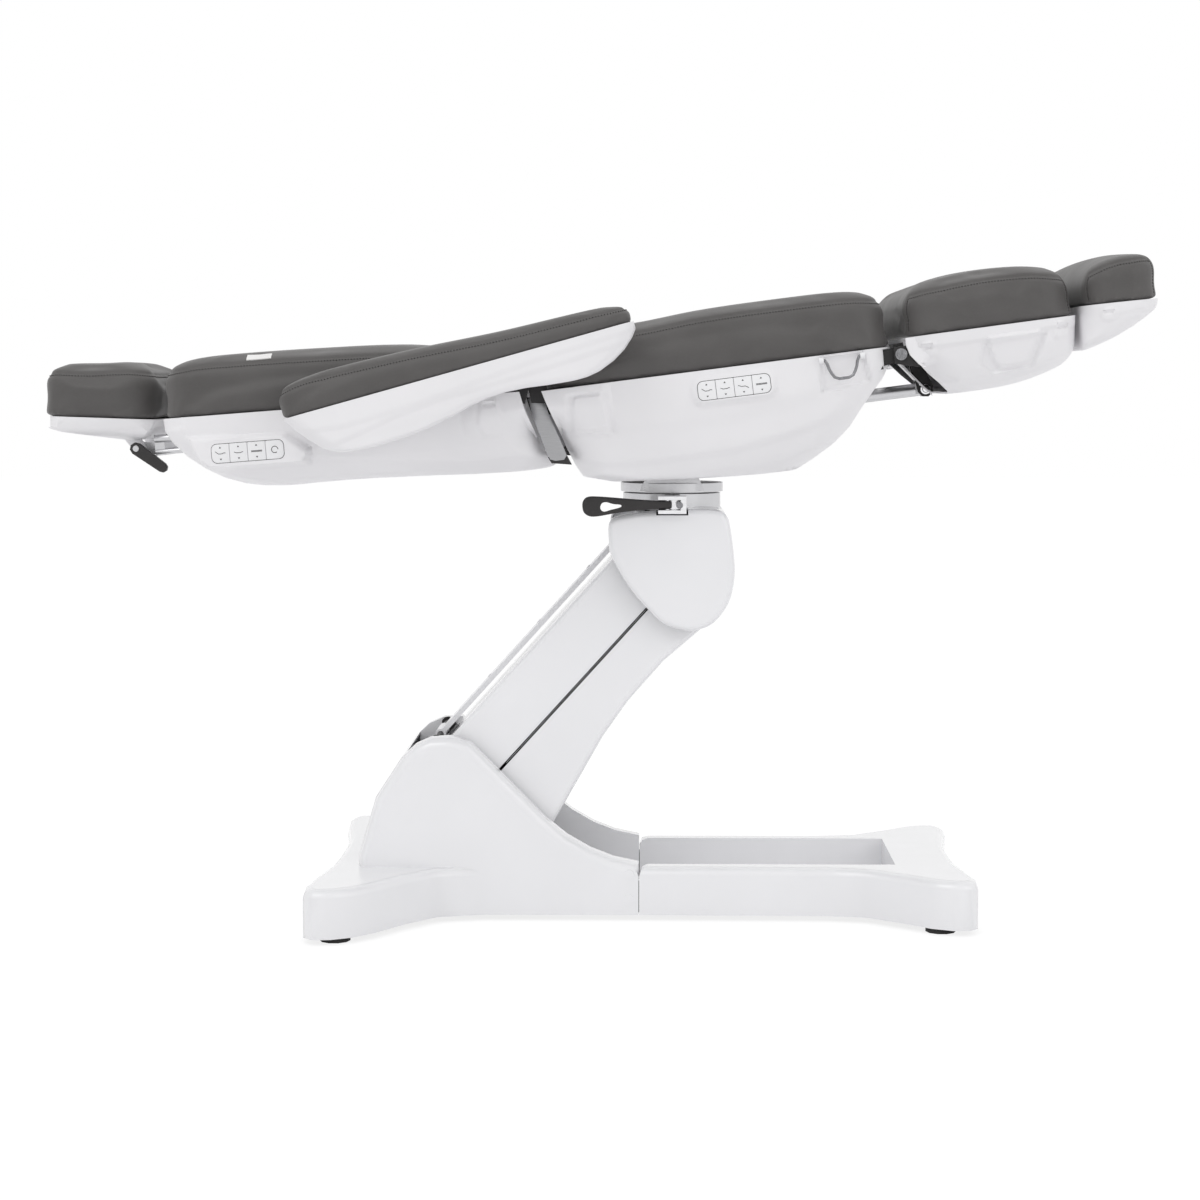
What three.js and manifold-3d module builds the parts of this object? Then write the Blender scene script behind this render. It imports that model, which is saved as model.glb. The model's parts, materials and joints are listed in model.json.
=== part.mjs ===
// An electric spa treatment table, in millimetres, +Z up, standing on the floor at z = 0.
// +X points to the foot end. The near side, with the key pads and the lock lever, is -Y.
// Each section is a group whose own frame starts at its hinge, so a turn of that group is its real motion.
import * as THREE from "three";
import { mergeVertices } from "three/addons/utils/BufferGeometryUtils.js";
import Module from "manifold-3d";

const wasm = await Module();
wasm.setup();

// Sides of the round parts
const round = { plain: 10, fine: 14, ring: 22, thin: 8 };

// Sizes that many pieces share
const gap = 0.3; // between faces that touch on the real table
const fit = 0.6; // round a shaft in its bore
const overrun = 6; // how far a cutting body passes the face that it cuts
const wall = 3; // moulded shells and covers
const weld = 0.001; // vertices closer than this are one
const slack = 3; // round a moving lever in its slot
const leverEdge = 1; // rounds the rims of the levers
const keyFit = 0.6; // over and under the keys in their pocket
const spigotFit = 1.2; // round the swivel's spigot
const slotRoom = { roof: 9, legRoof: 12, below: 24 }; // where drive levers pass through a shell
const notchReach = { lock: 24, ear: 18, rods: 48 }; // how far in the notches of covers and shells go
const pin = { radius: 6, eyeRadius: 13, eyeHalf: 8, lugInner: 10, lugOuter: 16, stub: 5, stubProud: 3 };

// The base, measured along the floor from below the lift pivot
const base = {
  rear: 245,
  front: 810,
  seam: 274.6,
  seamGap: 1,
  waist: 159,
  bottom: 9,
  top: 86,
  edge: 14,
  channelHalf: 122,
  channelFloor: 26,
  channelFromEnd: 120,
  slotStart: 100,
};
const tower = { half: 160, rear: 177, height: 296, edge: 16, open: 330 };
const frameTube = { inner: 130, room: 0.4, bottom: 13, top: 60, crossTop: 42, crossWidth: 34 };
const outrigger = { rearX: 213, rearHalf: 335, frontFromEnd: 75, frontHalf: 250 };
const outriggerFront = base.front - outrigger.frontFromEnd;
const upright = { inner: 113, outer: 121, front: 110, floor: 22, eyeRadius: 26, topEye: 10 };
const levelling = { padRadius: 24, padHeight: 7, studRadius: 6, inset: 17, depth: 36 };
const cap = { radius: 8, proud: 1.5, depth: 2, fromSeam: 15, lowZ: 35, highZ: 75 };

// The lifting arm
const lift = {
  pivotHeight: 195,
  length: 488.5,
  angle: 47.8,
  shaftRadius: 14,
  headShaftRadius: 12,
  plateInner: 52,
  plateOuter: 60,
  plateHalf: 34,
  hubRadius: 27,
  crossRadius: 14,
  driveCross: 266,
  midCross: 400,
  half: 110,
  edge: 8,
  corner: 14,
  split: -8,
  splitGap: 0.5,
  topEdge: 87,
  bottomEdge: 134,
  slotLength: 165,
  slotHalf: 42,
};
const link = { riseX: -52.5, riseZ: 90.9, half: 40, thick: 8, eyeRadius: 9, pinRadius: 5, boltRadius: 3.5 };
const liftDrive = {
  baseX: 90,
  baseZ: 45,
  pinAlong: 230,
  angle: 78.6,
  reach: 326.8,
  tubeLength: 208,
  boreStart: 60,
  rodStart: 165,
  tubeRadius: 24,
  rodRadius: 12,
  eyeRadius: 16,
  eyeHalf: 9,
  pinRadius: 8,
  lugInner: 11,
  lugOuter: 17,
};

// The head on top of the arm, with the swivel and its lock
const head = {
  left: -103,
  right: 99.6,
  bottom: -88.9,
  top: 105.5,
  half: 150,
  edge: 10,
  openRight: 88,
  openTop: 62,
  openCorner: -48,
  topOpening: 12,
  plateInner: 118,
  plateOuter: 126,
  deckThick: 6,
  deckRoom: 2.1,
  deckLeft: -36,
  deckRight: 66,
  eyeRadius: 28,
  spigotRadius: 30,
  spigotTop: 122,
};
const swivel = {
  postRadius: 52,
  discRadius: 84,
  discBottom: 129.3,
  discTop: 144,
  ringRadius: 80,
  ringTop: 127,
  splitHalf: 3,
  lugHalf: 12,
  lugReach: 128,
  lugBottom: 107,
};
const lock = {
  left: -23,
  right: 22,
  front: -168,
  back: -128.6,
  bottom: 99,
  top: 127,
  slotBottom: 105,
  slotTop: 121,
  web: 9,
  pivotX: -8,
  pivotY: -157,
  pinRadius: 3,
  handleEnd: 136,
  handleHalf: 5,
  rootHalf: 7.4,
  tipRise: 14,
  tipDrop: 20,
};

// The tilting seat; its frame starts at the tilt pivot
const tilt = {
  rise: 203,
  pitch: 7.25,
  shaftRadius: 10,
  earInner: 62,
  earOuter: 72,
  earRadius: 22,
  lugInner: 50,
  lugOuter: 60,
  lugRadius: 17,
  outerLug: 91,
  lugThick: 6,
};
const seat = {
  from: -190,
  to: 352,
  cushionTo: 356,
  deck: 115.8,
  depth: 176,
  half: 300,
  bottomHalf: 220,
  cushionHalf: 305,
  cushionHeight: 93,
  corner: 60,
  openingLong: 128,
  openingHalf: 101,
  rolls: { start: [42, 40], end: [24, 30], side: [26, 30] },
  crown: 8,
  draw: 2.5,
};
const rail = { inner: 245, outer: 271, height: 30, crossHeight: 16, crossWidth: 25, flange: 57 };
const seatFrame = { from: -165, to: 336, midHalf: 36, driveCross: 75, rearY: 289 };
const tiltDrive = {
  x: -150,
  y: 81.5,
  z: 68.5,
  reach: 142,
  tubeRadius: 11.5,
  rodRadius: 7,
  tubeLength: 95,
  boreStart: 35,
  rodStart: 62,
};
const legDrive = {
  x: 85,
  z: 41,
  reach: 338,
  tubeRadius: 15,
  rodRadius: 11,
  tubeLength: 200,
  boreStart: 40,
  rodStart: 160,
};
const backDrive = {
  x: 110,
  y: -110,
  z: 74,
  reach: 244,
  tubeRadius: 15,
  rodRadius: 10,
  tubeStart: 29,
  tubeLength: 205,
  boreStart: 36,
  rodStart: 42,
};
const controlBox = { from: 150, to: 300, width: 95, height: 46, corner: 6 };
const legHinge = {
  x: 364.3,
  z: 101.8,
  shaftRadius: 6,
  eyeRadius: 11,
  seatEar: 262,
  legEar: 270,
  ear: 6,
  end: 284,
};
const backHinge = {
  x: -201.2,
  z: 161.7,
  shaftRadius: 6,
  eyeRadius: 13,
  seatEar: 283,
  backEar: 291,
  ear: 6,
  end: 300,
};

// Key pads and the side ring
const keys = { width: 27.2, height: 28, pitch: 28, face: -301, thick: 7, pocket: 9, border: 6, podDepth: 20 };
const seatPad = { x: 104, z: 84.5, face: -300 };
const backPad = { x: -444, z: -103, face: -300 };
const sideRing = {
  x: 272,
  y: -304.5,
  z: 108,
  wire: 2.5,
  halfWidth: 25,
  drop: 31,
  lugHalf: 3.5,
  lugRadius: 6,
  lugDepth: 9,
};

// The back, from its hinge towards the head end
const back = {
  pitch: 4.4,
  from: -579,
  to: -20,
  deck: -43.5,
  depth: 127,
  half: 300,
  bottomHalf: 220,
  cushionHalf: 305,
  cushionHeight: 90,
  corner: 60,
  leverX: 71.5,
  leverZ: -84.3,
  leverRadius: 11,
  frameFrom: -555,
  frameTo: -36,
  rolls: { start: [26, 32], end: [40, 36], side: [26, 30] },
  crown: 8,
  draw: 2.5,
};

// The leg rest, from its hinge, and the sliding foot rest
const leg = {
  pitch: 7.6,
  from: 4.4,
  to: 277,
  deck: 24.2,
  depth: 98,
  half: 300,
  bottomHalf: 220,
  cushionHalf: 305,
  cushionHeight: 86,
  corner: 60,
  pinX: 58.4,
  pinZ: -61.6,
  frameFrom: 28,
  frameTo: 255,
  rolls: { start: [24, 32], end: [20, 34], side: [26, 30] },
  crown: 7,
  draw: 2.5,
};
const footRest = {
  x: 286.1,
  z: 36.4,
  pitch: 5.9,
  from: -3,
  to: 117.5,
  cushionTo: 120,
  deck: 0,
  depth: 70.4,
  half: 300,
  bottomHalf: 240,
  cushionHeight: 74,
  corner: 50,
  rodY: 150,
  rodZ: -30,
  rodRadius: 9,
  rodInner: -226,
  rodOuter: 50,
  guideRadius: 13,
  guideFrom: 150,
  barFrom: 24,
  barHalf: 9,
  barEnd: 235,
  postTop: -5,
  rolls: { start: [22, 34], end: [16, 22], side: [26, 30] },
  crown: 6,
  draw: 2.5,
};

// The armrests, from their pivot on the back
const armrest = {
  pivotX: -286,
  pivotZ: -93.3,
  pitch: 15.6,
  from: -79,
  to: 468,
  deck: 51,
  depth: 78,
  middle: 370.5,
  half: 52.5,
  bottomHalf: 30,
  corner: 30,
  cushionHalf: 54,
  cushionHeight: 52,
  axleRadius: 9,
  axleEnd: 350,
  bossRadius: 16,
  bossEnd: 356,
  flange: 12,
  hangerHalf: 14,
  hangerDrop: 12,
  rolls: { start: [18, 24], end: [14, 16], side: [18, 18] },
  crown: 3,
  draw: 1,
};

// The headrest, from its tilt pivot
const headrest = {
  pivotX: -652.3,
  pivotZ: -87.2,
  pitch: -1.9,
  from: -141,
  to: 37,
  deck: 48,
  depth: 35.4,
  half: 146,
  bottomHalf: 112,
  cushionHalf: 150,
  cushionFrom: -150,
  cushionHeight: 82,
  corner: 40,
  flange: 25,
  rodY: 95,
  rodZ: 12.8,
  rodRadius: 7,
  rodInner: 272,
  lowRodZ: -8.2,
  lowRodRadius: 5,
  lowRodInner: 222,
  guideRadius: 11,
  guideFrom: -556,
  guideTo: -430,
  barFrom: 28,
  barTo: 44,
  barHalf: 98,
  barTop: 8,
  barBottom: -14,
  lugInner: 60,
  lugOuter: 68,
  shellLug: 70,
  lugRadius: 10,
  pinRadius: 5,
  leverInner: 103,
  leverOuter: 115,
  leverX: 40,
  leverZ: -33.8,
  leverTip: 8,
  rolls: { start: [14, 20], end: [20, 26], side: [22, 28] },
  crown: 4,
  draw: 2,
};

const finish = {
  vinyl: new THREE.MeshStandardMaterial({ color: 0x545250, roughness: 0.55 }),
  shell: new THREE.MeshStandardMaterial({ color: 0xf1f0f1, roughness: 0.35 }),
  gloss: new THREE.MeshStandardMaterial({ color: 0xf6f6f6, roughness: 0.15 }),
  key: new THREE.MeshStandardMaterial({ color: 0xf4f4f5, roughness: 0.4 }),
  black: new THREE.MeshStandardMaterial({ color: 0x262424, roughness: 0.45 }),
  frame: new THREE.MeshStandardMaterial({ color: 0x1f1e1f, roughness: 0.5, metalness: 0.3 }),
  silver: new THREE.MeshStandardMaterial({ color: 0xc9c9ca, roughness: 0.3, metalness: 0.9 }),
  chrome: new THREE.MeshStandardMaterial({ color: 0xe6e6e8, roughness: 0.08, metalness: 1 }),
  rubber: new THREE.MeshStandardMaterial({ color: 0x2b2b2b, roughness: 0.9 }),
};

// Solids from three.js geometry
function solidOf(geometry) {
  geometry.deleteAttribute("normal");
  geometry.deleteAttribute("uv");
  const merged = mergeVertices(geometry, weld);
  const triVerts = new Uint32Array(merged.index.array);
  const vertProperties = merged.attributes.position.array;
  return new wasm.Manifold(new wasm.Mesh({ numProp: 3, vertProperties, triVerts }));
}

function geometryOf(solid) {
  const mesh = solid.getMesh();
  const geometry = new THREE.BufferGeometry();
  geometry.setAttribute("position", new THREE.BufferAttribute(mesh.vertProperties, mesh.numProp));
  geometry.setIndex(new THREE.BufferAttribute(mesh.triVerts, 1));
  const flat = geometry.toNonIndexed();
  flat.computeVertexNormals();
  return flat;
}

const join = (...solids) => solids.reduce((a, b) => a.add(b));
const cut = (solid, ...tools) => tools.reduce((a, b) => a.subtract(b), solid);
const common = (...solids) => solids.reduce((a, b) => a.intersect(b));

// An outline of [u, v] points pushed along an axis: x takes [y, z], y takes [x, z], z takes [x, y].
// An edge rounds the rims of both end faces in so many segments.
function prism(axis, outline, low, high, edge = 0, bevelSegments = 2) {
  const shape = new THREE.Shape(outline.map(([u, v]) => new THREE.Vector2(u, v)));
  const geometry = new THREE.ExtrudeGeometry(shape, {
    depth: high - low - 2 * edge,
    bevelEnabled: edge > 0,
    bevelThickness: edge,
    bevelSize: edge,
    bevelOffset: -edge,
    bevelSegments,
  });
  if (axis === "x") {
    const turn = new THREE.Matrix4().set(0, 0, 1, low + edge, 1, 0, 0, 0, 0, 1, 0, 0, 0, 0, 0, 1);
    geometry.applyMatrix4(turn);
  } else if (axis === "y") {
    geometry.rotateX(Math.PI / 2).translate(0, high - edge, 0);
  } else {
    geometry.translate(0, 0, low + edge);
  }
  return solidOf(geometry);
}

function box([x0, x1], [y0, y1], [z0, z1]) {
  const geometry = new THREE.BoxGeometry(x1 - x0, y1 - y0, z1 - z0);
  return solidOf(geometry.translate((x0 + x1) / 2, (y0 + y1) / 2, (z0 + z1) / 2));
}

function circle(u, v, radius, sides = round.plain) {
  return Array.from({ length: sides }, (_, i) => {
    const angle = (2 * Math.PI * i) / sides;
    return [u + radius * Math.cos(angle), v + radius * Math.sin(angle)];
  });
}

const rodX = (y, z, radius, low, high, sides = round.plain) =>
  prism("x", circle(y, z, radius, sides), low, high);
const rodY = (x, z, radius, low, high, sides = round.plain) =>
  prism("y", circle(x, z, radius, sides), low, high);
const rodZ = (x, y, radius, low, high, sides = round.plain) =>
  prism("z", circle(x, y, radius, sides), low, high);

// Two round ends joined by straight edges, as in a lever or a lug.
function strap(a, radiusA, b, radiusB, steps = 4) {
  const along = Math.atan2(b[1] - a[1], b[0] - a[0]);
  const arc = (centre, radius, from) =>
    Array.from({ length: steps + 1 }, (_, i) => {
      const angle = from + (Math.PI * i) / steps;
      return [centre[0] + radius * Math.cos(angle), centre[1] + radius * Math.sin(angle)];
    });
  return [...arc(b, radiusB, along - Math.PI / 2), ...arc(a, radiusA, along + Math.PI / 2)];
}

// The outline with each corner rounded, as far as its edges leave room.
function rounded(outline, radius, steps = 2) {
  const reachShare = 0.45;
  const flatTurn = 0.12;
  return outline.flatMap((corner, i) => {
    const here = new THREE.Vector2(...corner);
    const before = new THREE.Vector2(...outline[(i + outline.length - 1) % outline.length]).sub(here);
    const after = new THREE.Vector2(...outline[(i + 1) % outline.length]).sub(here);
    const half = before.angleTo(after) / 2;
    if (Math.PI - 2 * half < flatTurn) return [corner];
    const room = reachShare * Math.min(before.length(), after.length());
    const reach = Math.min(radius / Math.tan(half), room);
    const turn = Math.sign(after.cross(before)) * (Math.PI - 2 * half);
    const toCentre = before.clone().normalize().add(after.clone().normalize()).normalize();
    const centre = here.clone().addScaledVector(toCentre, reach / Math.cos(half));
    const start = here.clone().addScaledVector(before.clone().normalize(), reach);
    return Array.from({ length: steps + 1 }, (_, step) => {
      const point = start.clone().rotateAround(centre, (turn * step) / steps);
      return [point.x, point.y];
    });
  });
}

// A rectangle in plan with round corners, moved inwards by d.
function roundRect(from, to, half, corner, d = 0, steps = 3) {
  const r = corner - d;
  const centres = [
    [to - corner, half - corner],
    [from + corner, half - corner],
    [from + corner, corner - half],
    [to - corner, corner - half],
  ];
  return centres.flatMap(([x, y], quarter) =>
    Array.from({ length: steps + 1 }, (_, i) => {
      const angle = (quarter + i / steps) * (Math.PI / 2);
      return [x + r * Math.cos(angle), y + r * Math.sin(angle)];
    }),
  );
}

// The outline moved inwards by a distance, each corner along its mitre.
function inset(outline, distance) {
  const count = outline.length;
  const area = outline.reduce((sum, [u, v], i) => {
    const [nextU, nextV] = outline[(i + 1) % count];
    return sum + u * nextV - nextU * v;
  }, 0);
  const inward = (a, b) => {
    const along = new THREE.Vector2(b[0] - a[0], b[1] - a[1]).normalize();
    return new THREE.Vector2(-along.y, along.x).multiplyScalar(Math.sign(area));
  };
  return outline.map(([u, v], i) => {
    const first = inward(outline[(i + count - 1) % count], [u, v]);
    const second = inward([u, v], outline[(i + 1) % count]);
    const mitre = first.clone().add(second);
    mitre.multiplyScalar(distance / (1 + first.dot(second)));
    return [u + mitre.x, v + mitre.y];
  });
}

// Pairs of shares as real points, from one corner and two sizes.
const spread = (shares, u, v, width, height) =>
  shares.map(([a, b]) => [u + a * width, v + b * height]);

const both = (make) => join(make(1), make(-1));
const band = (side, a, b) => (side > 0 ? [a, b] : [-b, -a]);

// Two plates with the same outline, on either side of a plane across y.
const lugPair = (outline, y, inner, outer) =>
  join(prism("y", outline, y + inner, y + outer), prism("y", outline, y - outer, y - inner));

// A moulded tray under a cushion: side profile, cross-section and plan in common, and a flange at its rim.
const sectionShares = [[0, 0], [0.12, 0.35], [0.45, 0.8], [1, 1]];
function tray(spec, profileShares) {
  const { from, to, deck, depth, half, bottomHalf, corner, flange = rail.flange } = spec;
  const profile = spread(profileShares, from, deck, to - from, -depth);
  const side = spread(sectionShares, half, deck, bottomHalf - half, -depth);
  const section = [...side.map(([y, z]) => [-y, z]), ...side.reverse()];
  const lift = wall + overrun;
  const raised = (outline) =>
    outline.map(([u, v], i) => (i === 0 || i === outline.length - 1 ? [u, v + lift] : [u, v]));
  const reach = overrun + half;
  const low = deck - depth - overrun;
  const form = (d) =>
    common(
      prism("y", d ? inset(raised(profile), d) : profile, -reach, reach),
      prism("x", d ? inset(raised(section), d) : section, from - reach, to + reach),
      join(
        prism("z", roundRect(from, to, half, corner, d), low, deck - (d ? wall : 0)),
        prism("z", roundRect(from - reach, to + reach, half, corner, d), low, deck - depth / 2),
      ),
    );
  const opening = prism("z", roundRect(from, to, half, corner, flange), deck - depth / 4, deck + overrun);
  return { outer: form(0), inner: form(wall), opening };
}

// A padded cushion: walls drawn in between its corners, rolled top edges and a crown.
// Its height along the length comes from [place, height] shares; start, end and side give the rolls.
function cushion(spec) {
  const { from, to, half, corner, deck, height, heightShares, rolls, crown, draw } = spec;
  const cornerSteps = 3;
  const longSteps = 6;
  const shortSteps = 4;
  const footShare = 0.035;
  const bottom = deck + gap;
  const plan = [];
  const corners = [
    [to - corner, half - corner, 0],
    [from + corner, half - corner, 1],
    [from + corner, corner - half, 2],
    [to - corner, corner - half, 3],
  ];
  corners.forEach(([x, y, quarter], i) => {
    for (let step = 0; step <= cornerSteps; step++) {
      const angle = (quarter + step / cornerSteps) * (Math.PI / 2);
      const [nx, ny] = [Math.cos(angle), Math.sin(angle)];
      plan.push({ x: x + corner * nx, y: y + corner * ny, nx, ny, pull: 0 });
    }
    const a = plan[plan.length - 1];
    const [nextX, nextY, nextQuarter] = corners[(i + 1) % corners.length];
    const angle = nextQuarter * (Math.PI / 2);
    const b = { x: nextX + corner * Math.cos(angle), y: nextY + corner * Math.sin(angle) };
    const steps = i % 2 ? shortSteps : longSteps;
    for (let step = 1; step < steps; step++) {
      const t = step / steps;
      const pull = 4 * t * (1 - t);
      plan.push({ x: a.x + (b.x - a.x) * t, y: a.y + (b.y - a.y) * t, nx: a.nx, ny: a.ny, pull });
    }
  });
  const top = (x) => {
    const place = THREE.MathUtils.clamp((x - from) / (to - from), 0, 1);
    const next = Math.max(1, heightShares.findIndex(([share]) => share >= place));
    const [[p0, h0], [p1, h1]] = [heightShares[next - 1], heightShares[next]];
    return deck + height * THREE.MathUtils.lerp(h0, h1, (place - p0) / (p1 - p0));
  };
  const rollOf = ({ nx, ny }) => {
    const end = nx < 0 ? rolls.start : rolls.end;
    return [0, 1].map((k) => end[k] * nx * nx + rolls.side[k] * ny * ny);
  };
  const place = (p, inwards, z) => [p.x - p.nx * inwards, p.y - p.ny * inwards, z];
  const rings = [
    (p) => place(p, height * footShare + draw * p.pull, bottom),
    (p) => place(p, draw * p.pull, bottom + height * footShare),
    (p) => place(p, draw * (1 + p.pull), (bottom + top(p.x) - rollOf(p)[1]) / 2),
  ];
  for (const degrees of [0, 30, 60, 90]) {
    const angle = THREE.MathUtils.degToRad(degrees);
    rings.push((p) => {
      const [depth, drop] = rollOf(p);
      const inwards = draw * p.pull * Math.cos(angle) + depth * (1 - Math.cos(angle));
      const x = p.x - p.nx * depth * (1 - Math.cos(angle));
      return place(p, inwards, top(x) - drop * (1 - Math.sin(angle)));
    });
  }
  const [midX, lastRing] = [(from + to) / 2, rings[rings.length - 1]];
  const crownShares = [0.68, 0.34];
  for (const share of crownShares) {
    rings.push((p) => {
      const [x, y] = lastRing(p);
      const nearX = midX + (x - midX) * share;
      return [nearX, y * share, top(nearX) + crown * (1 - share * share)];
    });
  }
  const points = rings.flatMap((ringOf) => plan.map(ringOf));
  const count = plan.length;
  const index = [];
  for (let level = 0; level + 1 < rings.length; level++) {
    for (let i = 0; i < count; i++) {
      const [a, b] = [level * count + i, level * count + ((i + 1) % count)];
      index.push(a, b, b + count, a, b + count, a + count);
    }
  }
  const low = points.push([midX, 0, bottom]) - 1;
  const high = points.push([midX, 0, top(midX) + crown]) - 1;
  for (let i = 0; i < count; i++) {
    const next = (i + 1) % count;
    const lastLevel = (rings.length - 1) * count;
    index.push(next, i, low, lastLevel + i, lastLevel + next, high);
  }
  const geometry = new THREE.BufferGeometry();
  geometry.setAttribute("position", new THREE.Float32BufferAttribute(points.flat(), 3));
  geometry.setIndex(index);
  return solidOf(geometry);
}

// A linear drive along x from its rear pivot: a bored tube with an eye, and a rod with an open eye.
function driveTube(spec) {
  const { tubeRadius, rodRadius, tubeLength, boreStart } = spec;
  const { eyeRadius = pin.eyeRadius, eyeHalf = pin.eyeHalf, pinRadius = pin.radius } = spec;
  const { tubeStart = eyeRadius + slack } = spec;
  return cut(
    join(
      rodY(0, 0, eyeRadius, -eyeHalf, eyeHalf),
      rodX(0, 0, eyeHalf, 0, tubeStart + slack),
      rodX(0, 0, tubeRadius, tubeStart, tubeLength),
    ),
    rodY(0, 0, pinRadius + fit, -eyeRadius, eyeRadius),
    rodX(0, 0, rodRadius + fit, boreStart, tubeLength + overrun),
  );
}

function driveRod(spec) {
  const { rodRadius, rodStart, reach } = spec;
  const { eyeRadius = pin.eyeRadius, eyeHalf = pin.eyeHalf, pinRadius = pin.radius } = spec;
  const shank = common(
    rodX(0, 0, rodRadius, rodStart, reach),
    join(
      box([0, reach - eyeRadius - slack], [-reach, reach], [-reach, reach]),
      box([0, reach], [-eyeHalf, eyeHalf], [-reach, reach]),
    ),
  );
  return cut(
    join(shank, rodY(reach, 0, eyeRadius, -eyeHalf, eyeHalf)),
    rodY(reach, 0, pinRadius + fit, -eyeRadius, eyeRadius),
  );
}

function section(parent, x, y, z, pitch = 0) {
  const group = new THREE.Group();
  group.position.set(x, y, z);
  group.rotation.y = THREE.MathUtils.degToRad(-pitch);
  parent.add(group);
  return group;
}

function add(group, name, solid, material) {
  const mesh = new THREE.Mesh(geometryOf(solid), material);
  mesh.name = name;
  group.add(mesh);
}

// Groups, from the floor up
const table = new THREE.Group();
const baseGroup = section(table, 0, 0, 0);
const armGroup = section(baseGroup, 0, 0, lift.pivotHeight, lift.angle);
const linkGroup = section(baseGroup, link.riseX, 0, lift.pivotHeight + link.riseZ, lift.angle);
const liftDriveGroup = section(baseGroup, liftDrive.baseX, 0, liftDrive.baseZ, liftDrive.angle);
const headGroup = section(armGroup, lift.length, 0, 0, -lift.angle);
const lockGroup = section(headGroup, lock.pivotX, lock.pivotY, 0);
const swivelGroup = section(headGroup, 0, 0, tilt.rise);
const seatGroup = section(swivelGroup, 0, 0, 0, tilt.pitch);
const ringGroup = section(seatGroup, sideRing.x, sideRing.y, sideRing.z);
const backGroup = section(seatGroup, backHinge.x, 0, backHinge.z, back.pitch - tilt.pitch);
const legGroup = section(seatGroup, legHinge.x, 0, legHinge.z, leg.pitch - tilt.pitch);
const footGroup = section(legGroup, footRest.x, 0, footRest.z);
const footPadGroup = section(footGroup, 0, 0, 0, footRest.pitch - leg.pitch);
const slideGroup = section(backGroup, headrest.pivotX, 0, headrest.pivotZ);
const headrestGroup = section(slideGroup, 0, 0, 0, headrest.pitch - back.pitch);
const tiltDriveGroup = section(seatGroup, tiltDrive.x, tiltDrive.y, tiltDrive.z);
const legDriveGroup = section(seatGroup, legDrive.x, 0, legDrive.z);
const backDriveGroup = section(seatGroup, backDrive.x, backDrive.y, backDrive.z, 180);
ringGroup.name = "pivot_ring";
lockGroup.name = "pivot_lock";
armGroup.name = "pivot_lift";
linkGroup.name = "pivot_link";
liftDriveGroup.name = "pivot_lift_drive";
headGroup.name = "pivot_head";
swivelGroup.name = "pivot_tilt";
backGroup.name = "pivot_back";
legGroup.name = "pivot_leg";
footGroup.name = "pivot_foot";
slideGroup.name = "pivot_headrest";
legDriveGroup.name = "pivot_leg_drive";
backDriveGroup.name = "pivot_back_drive";

// The base: a steel frame on four levelling feet, with a front and a rear cover
const footPlaces = [
  [frameTube.crossWidth / 2 - outrigger.rearX, levelling.inset - outrigger.rearHalf],
  [frameTube.crossWidth / 2 - outrigger.rearX, outrigger.rearHalf - levelling.inset],
  [outriggerFront + frameTube.crossWidth / 2, levelling.inset - outrigger.frontHalf],
  [outriggerFront + frameTube.crossWidth / 2, outrigger.frontHalf - levelling.inset],
];

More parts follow.
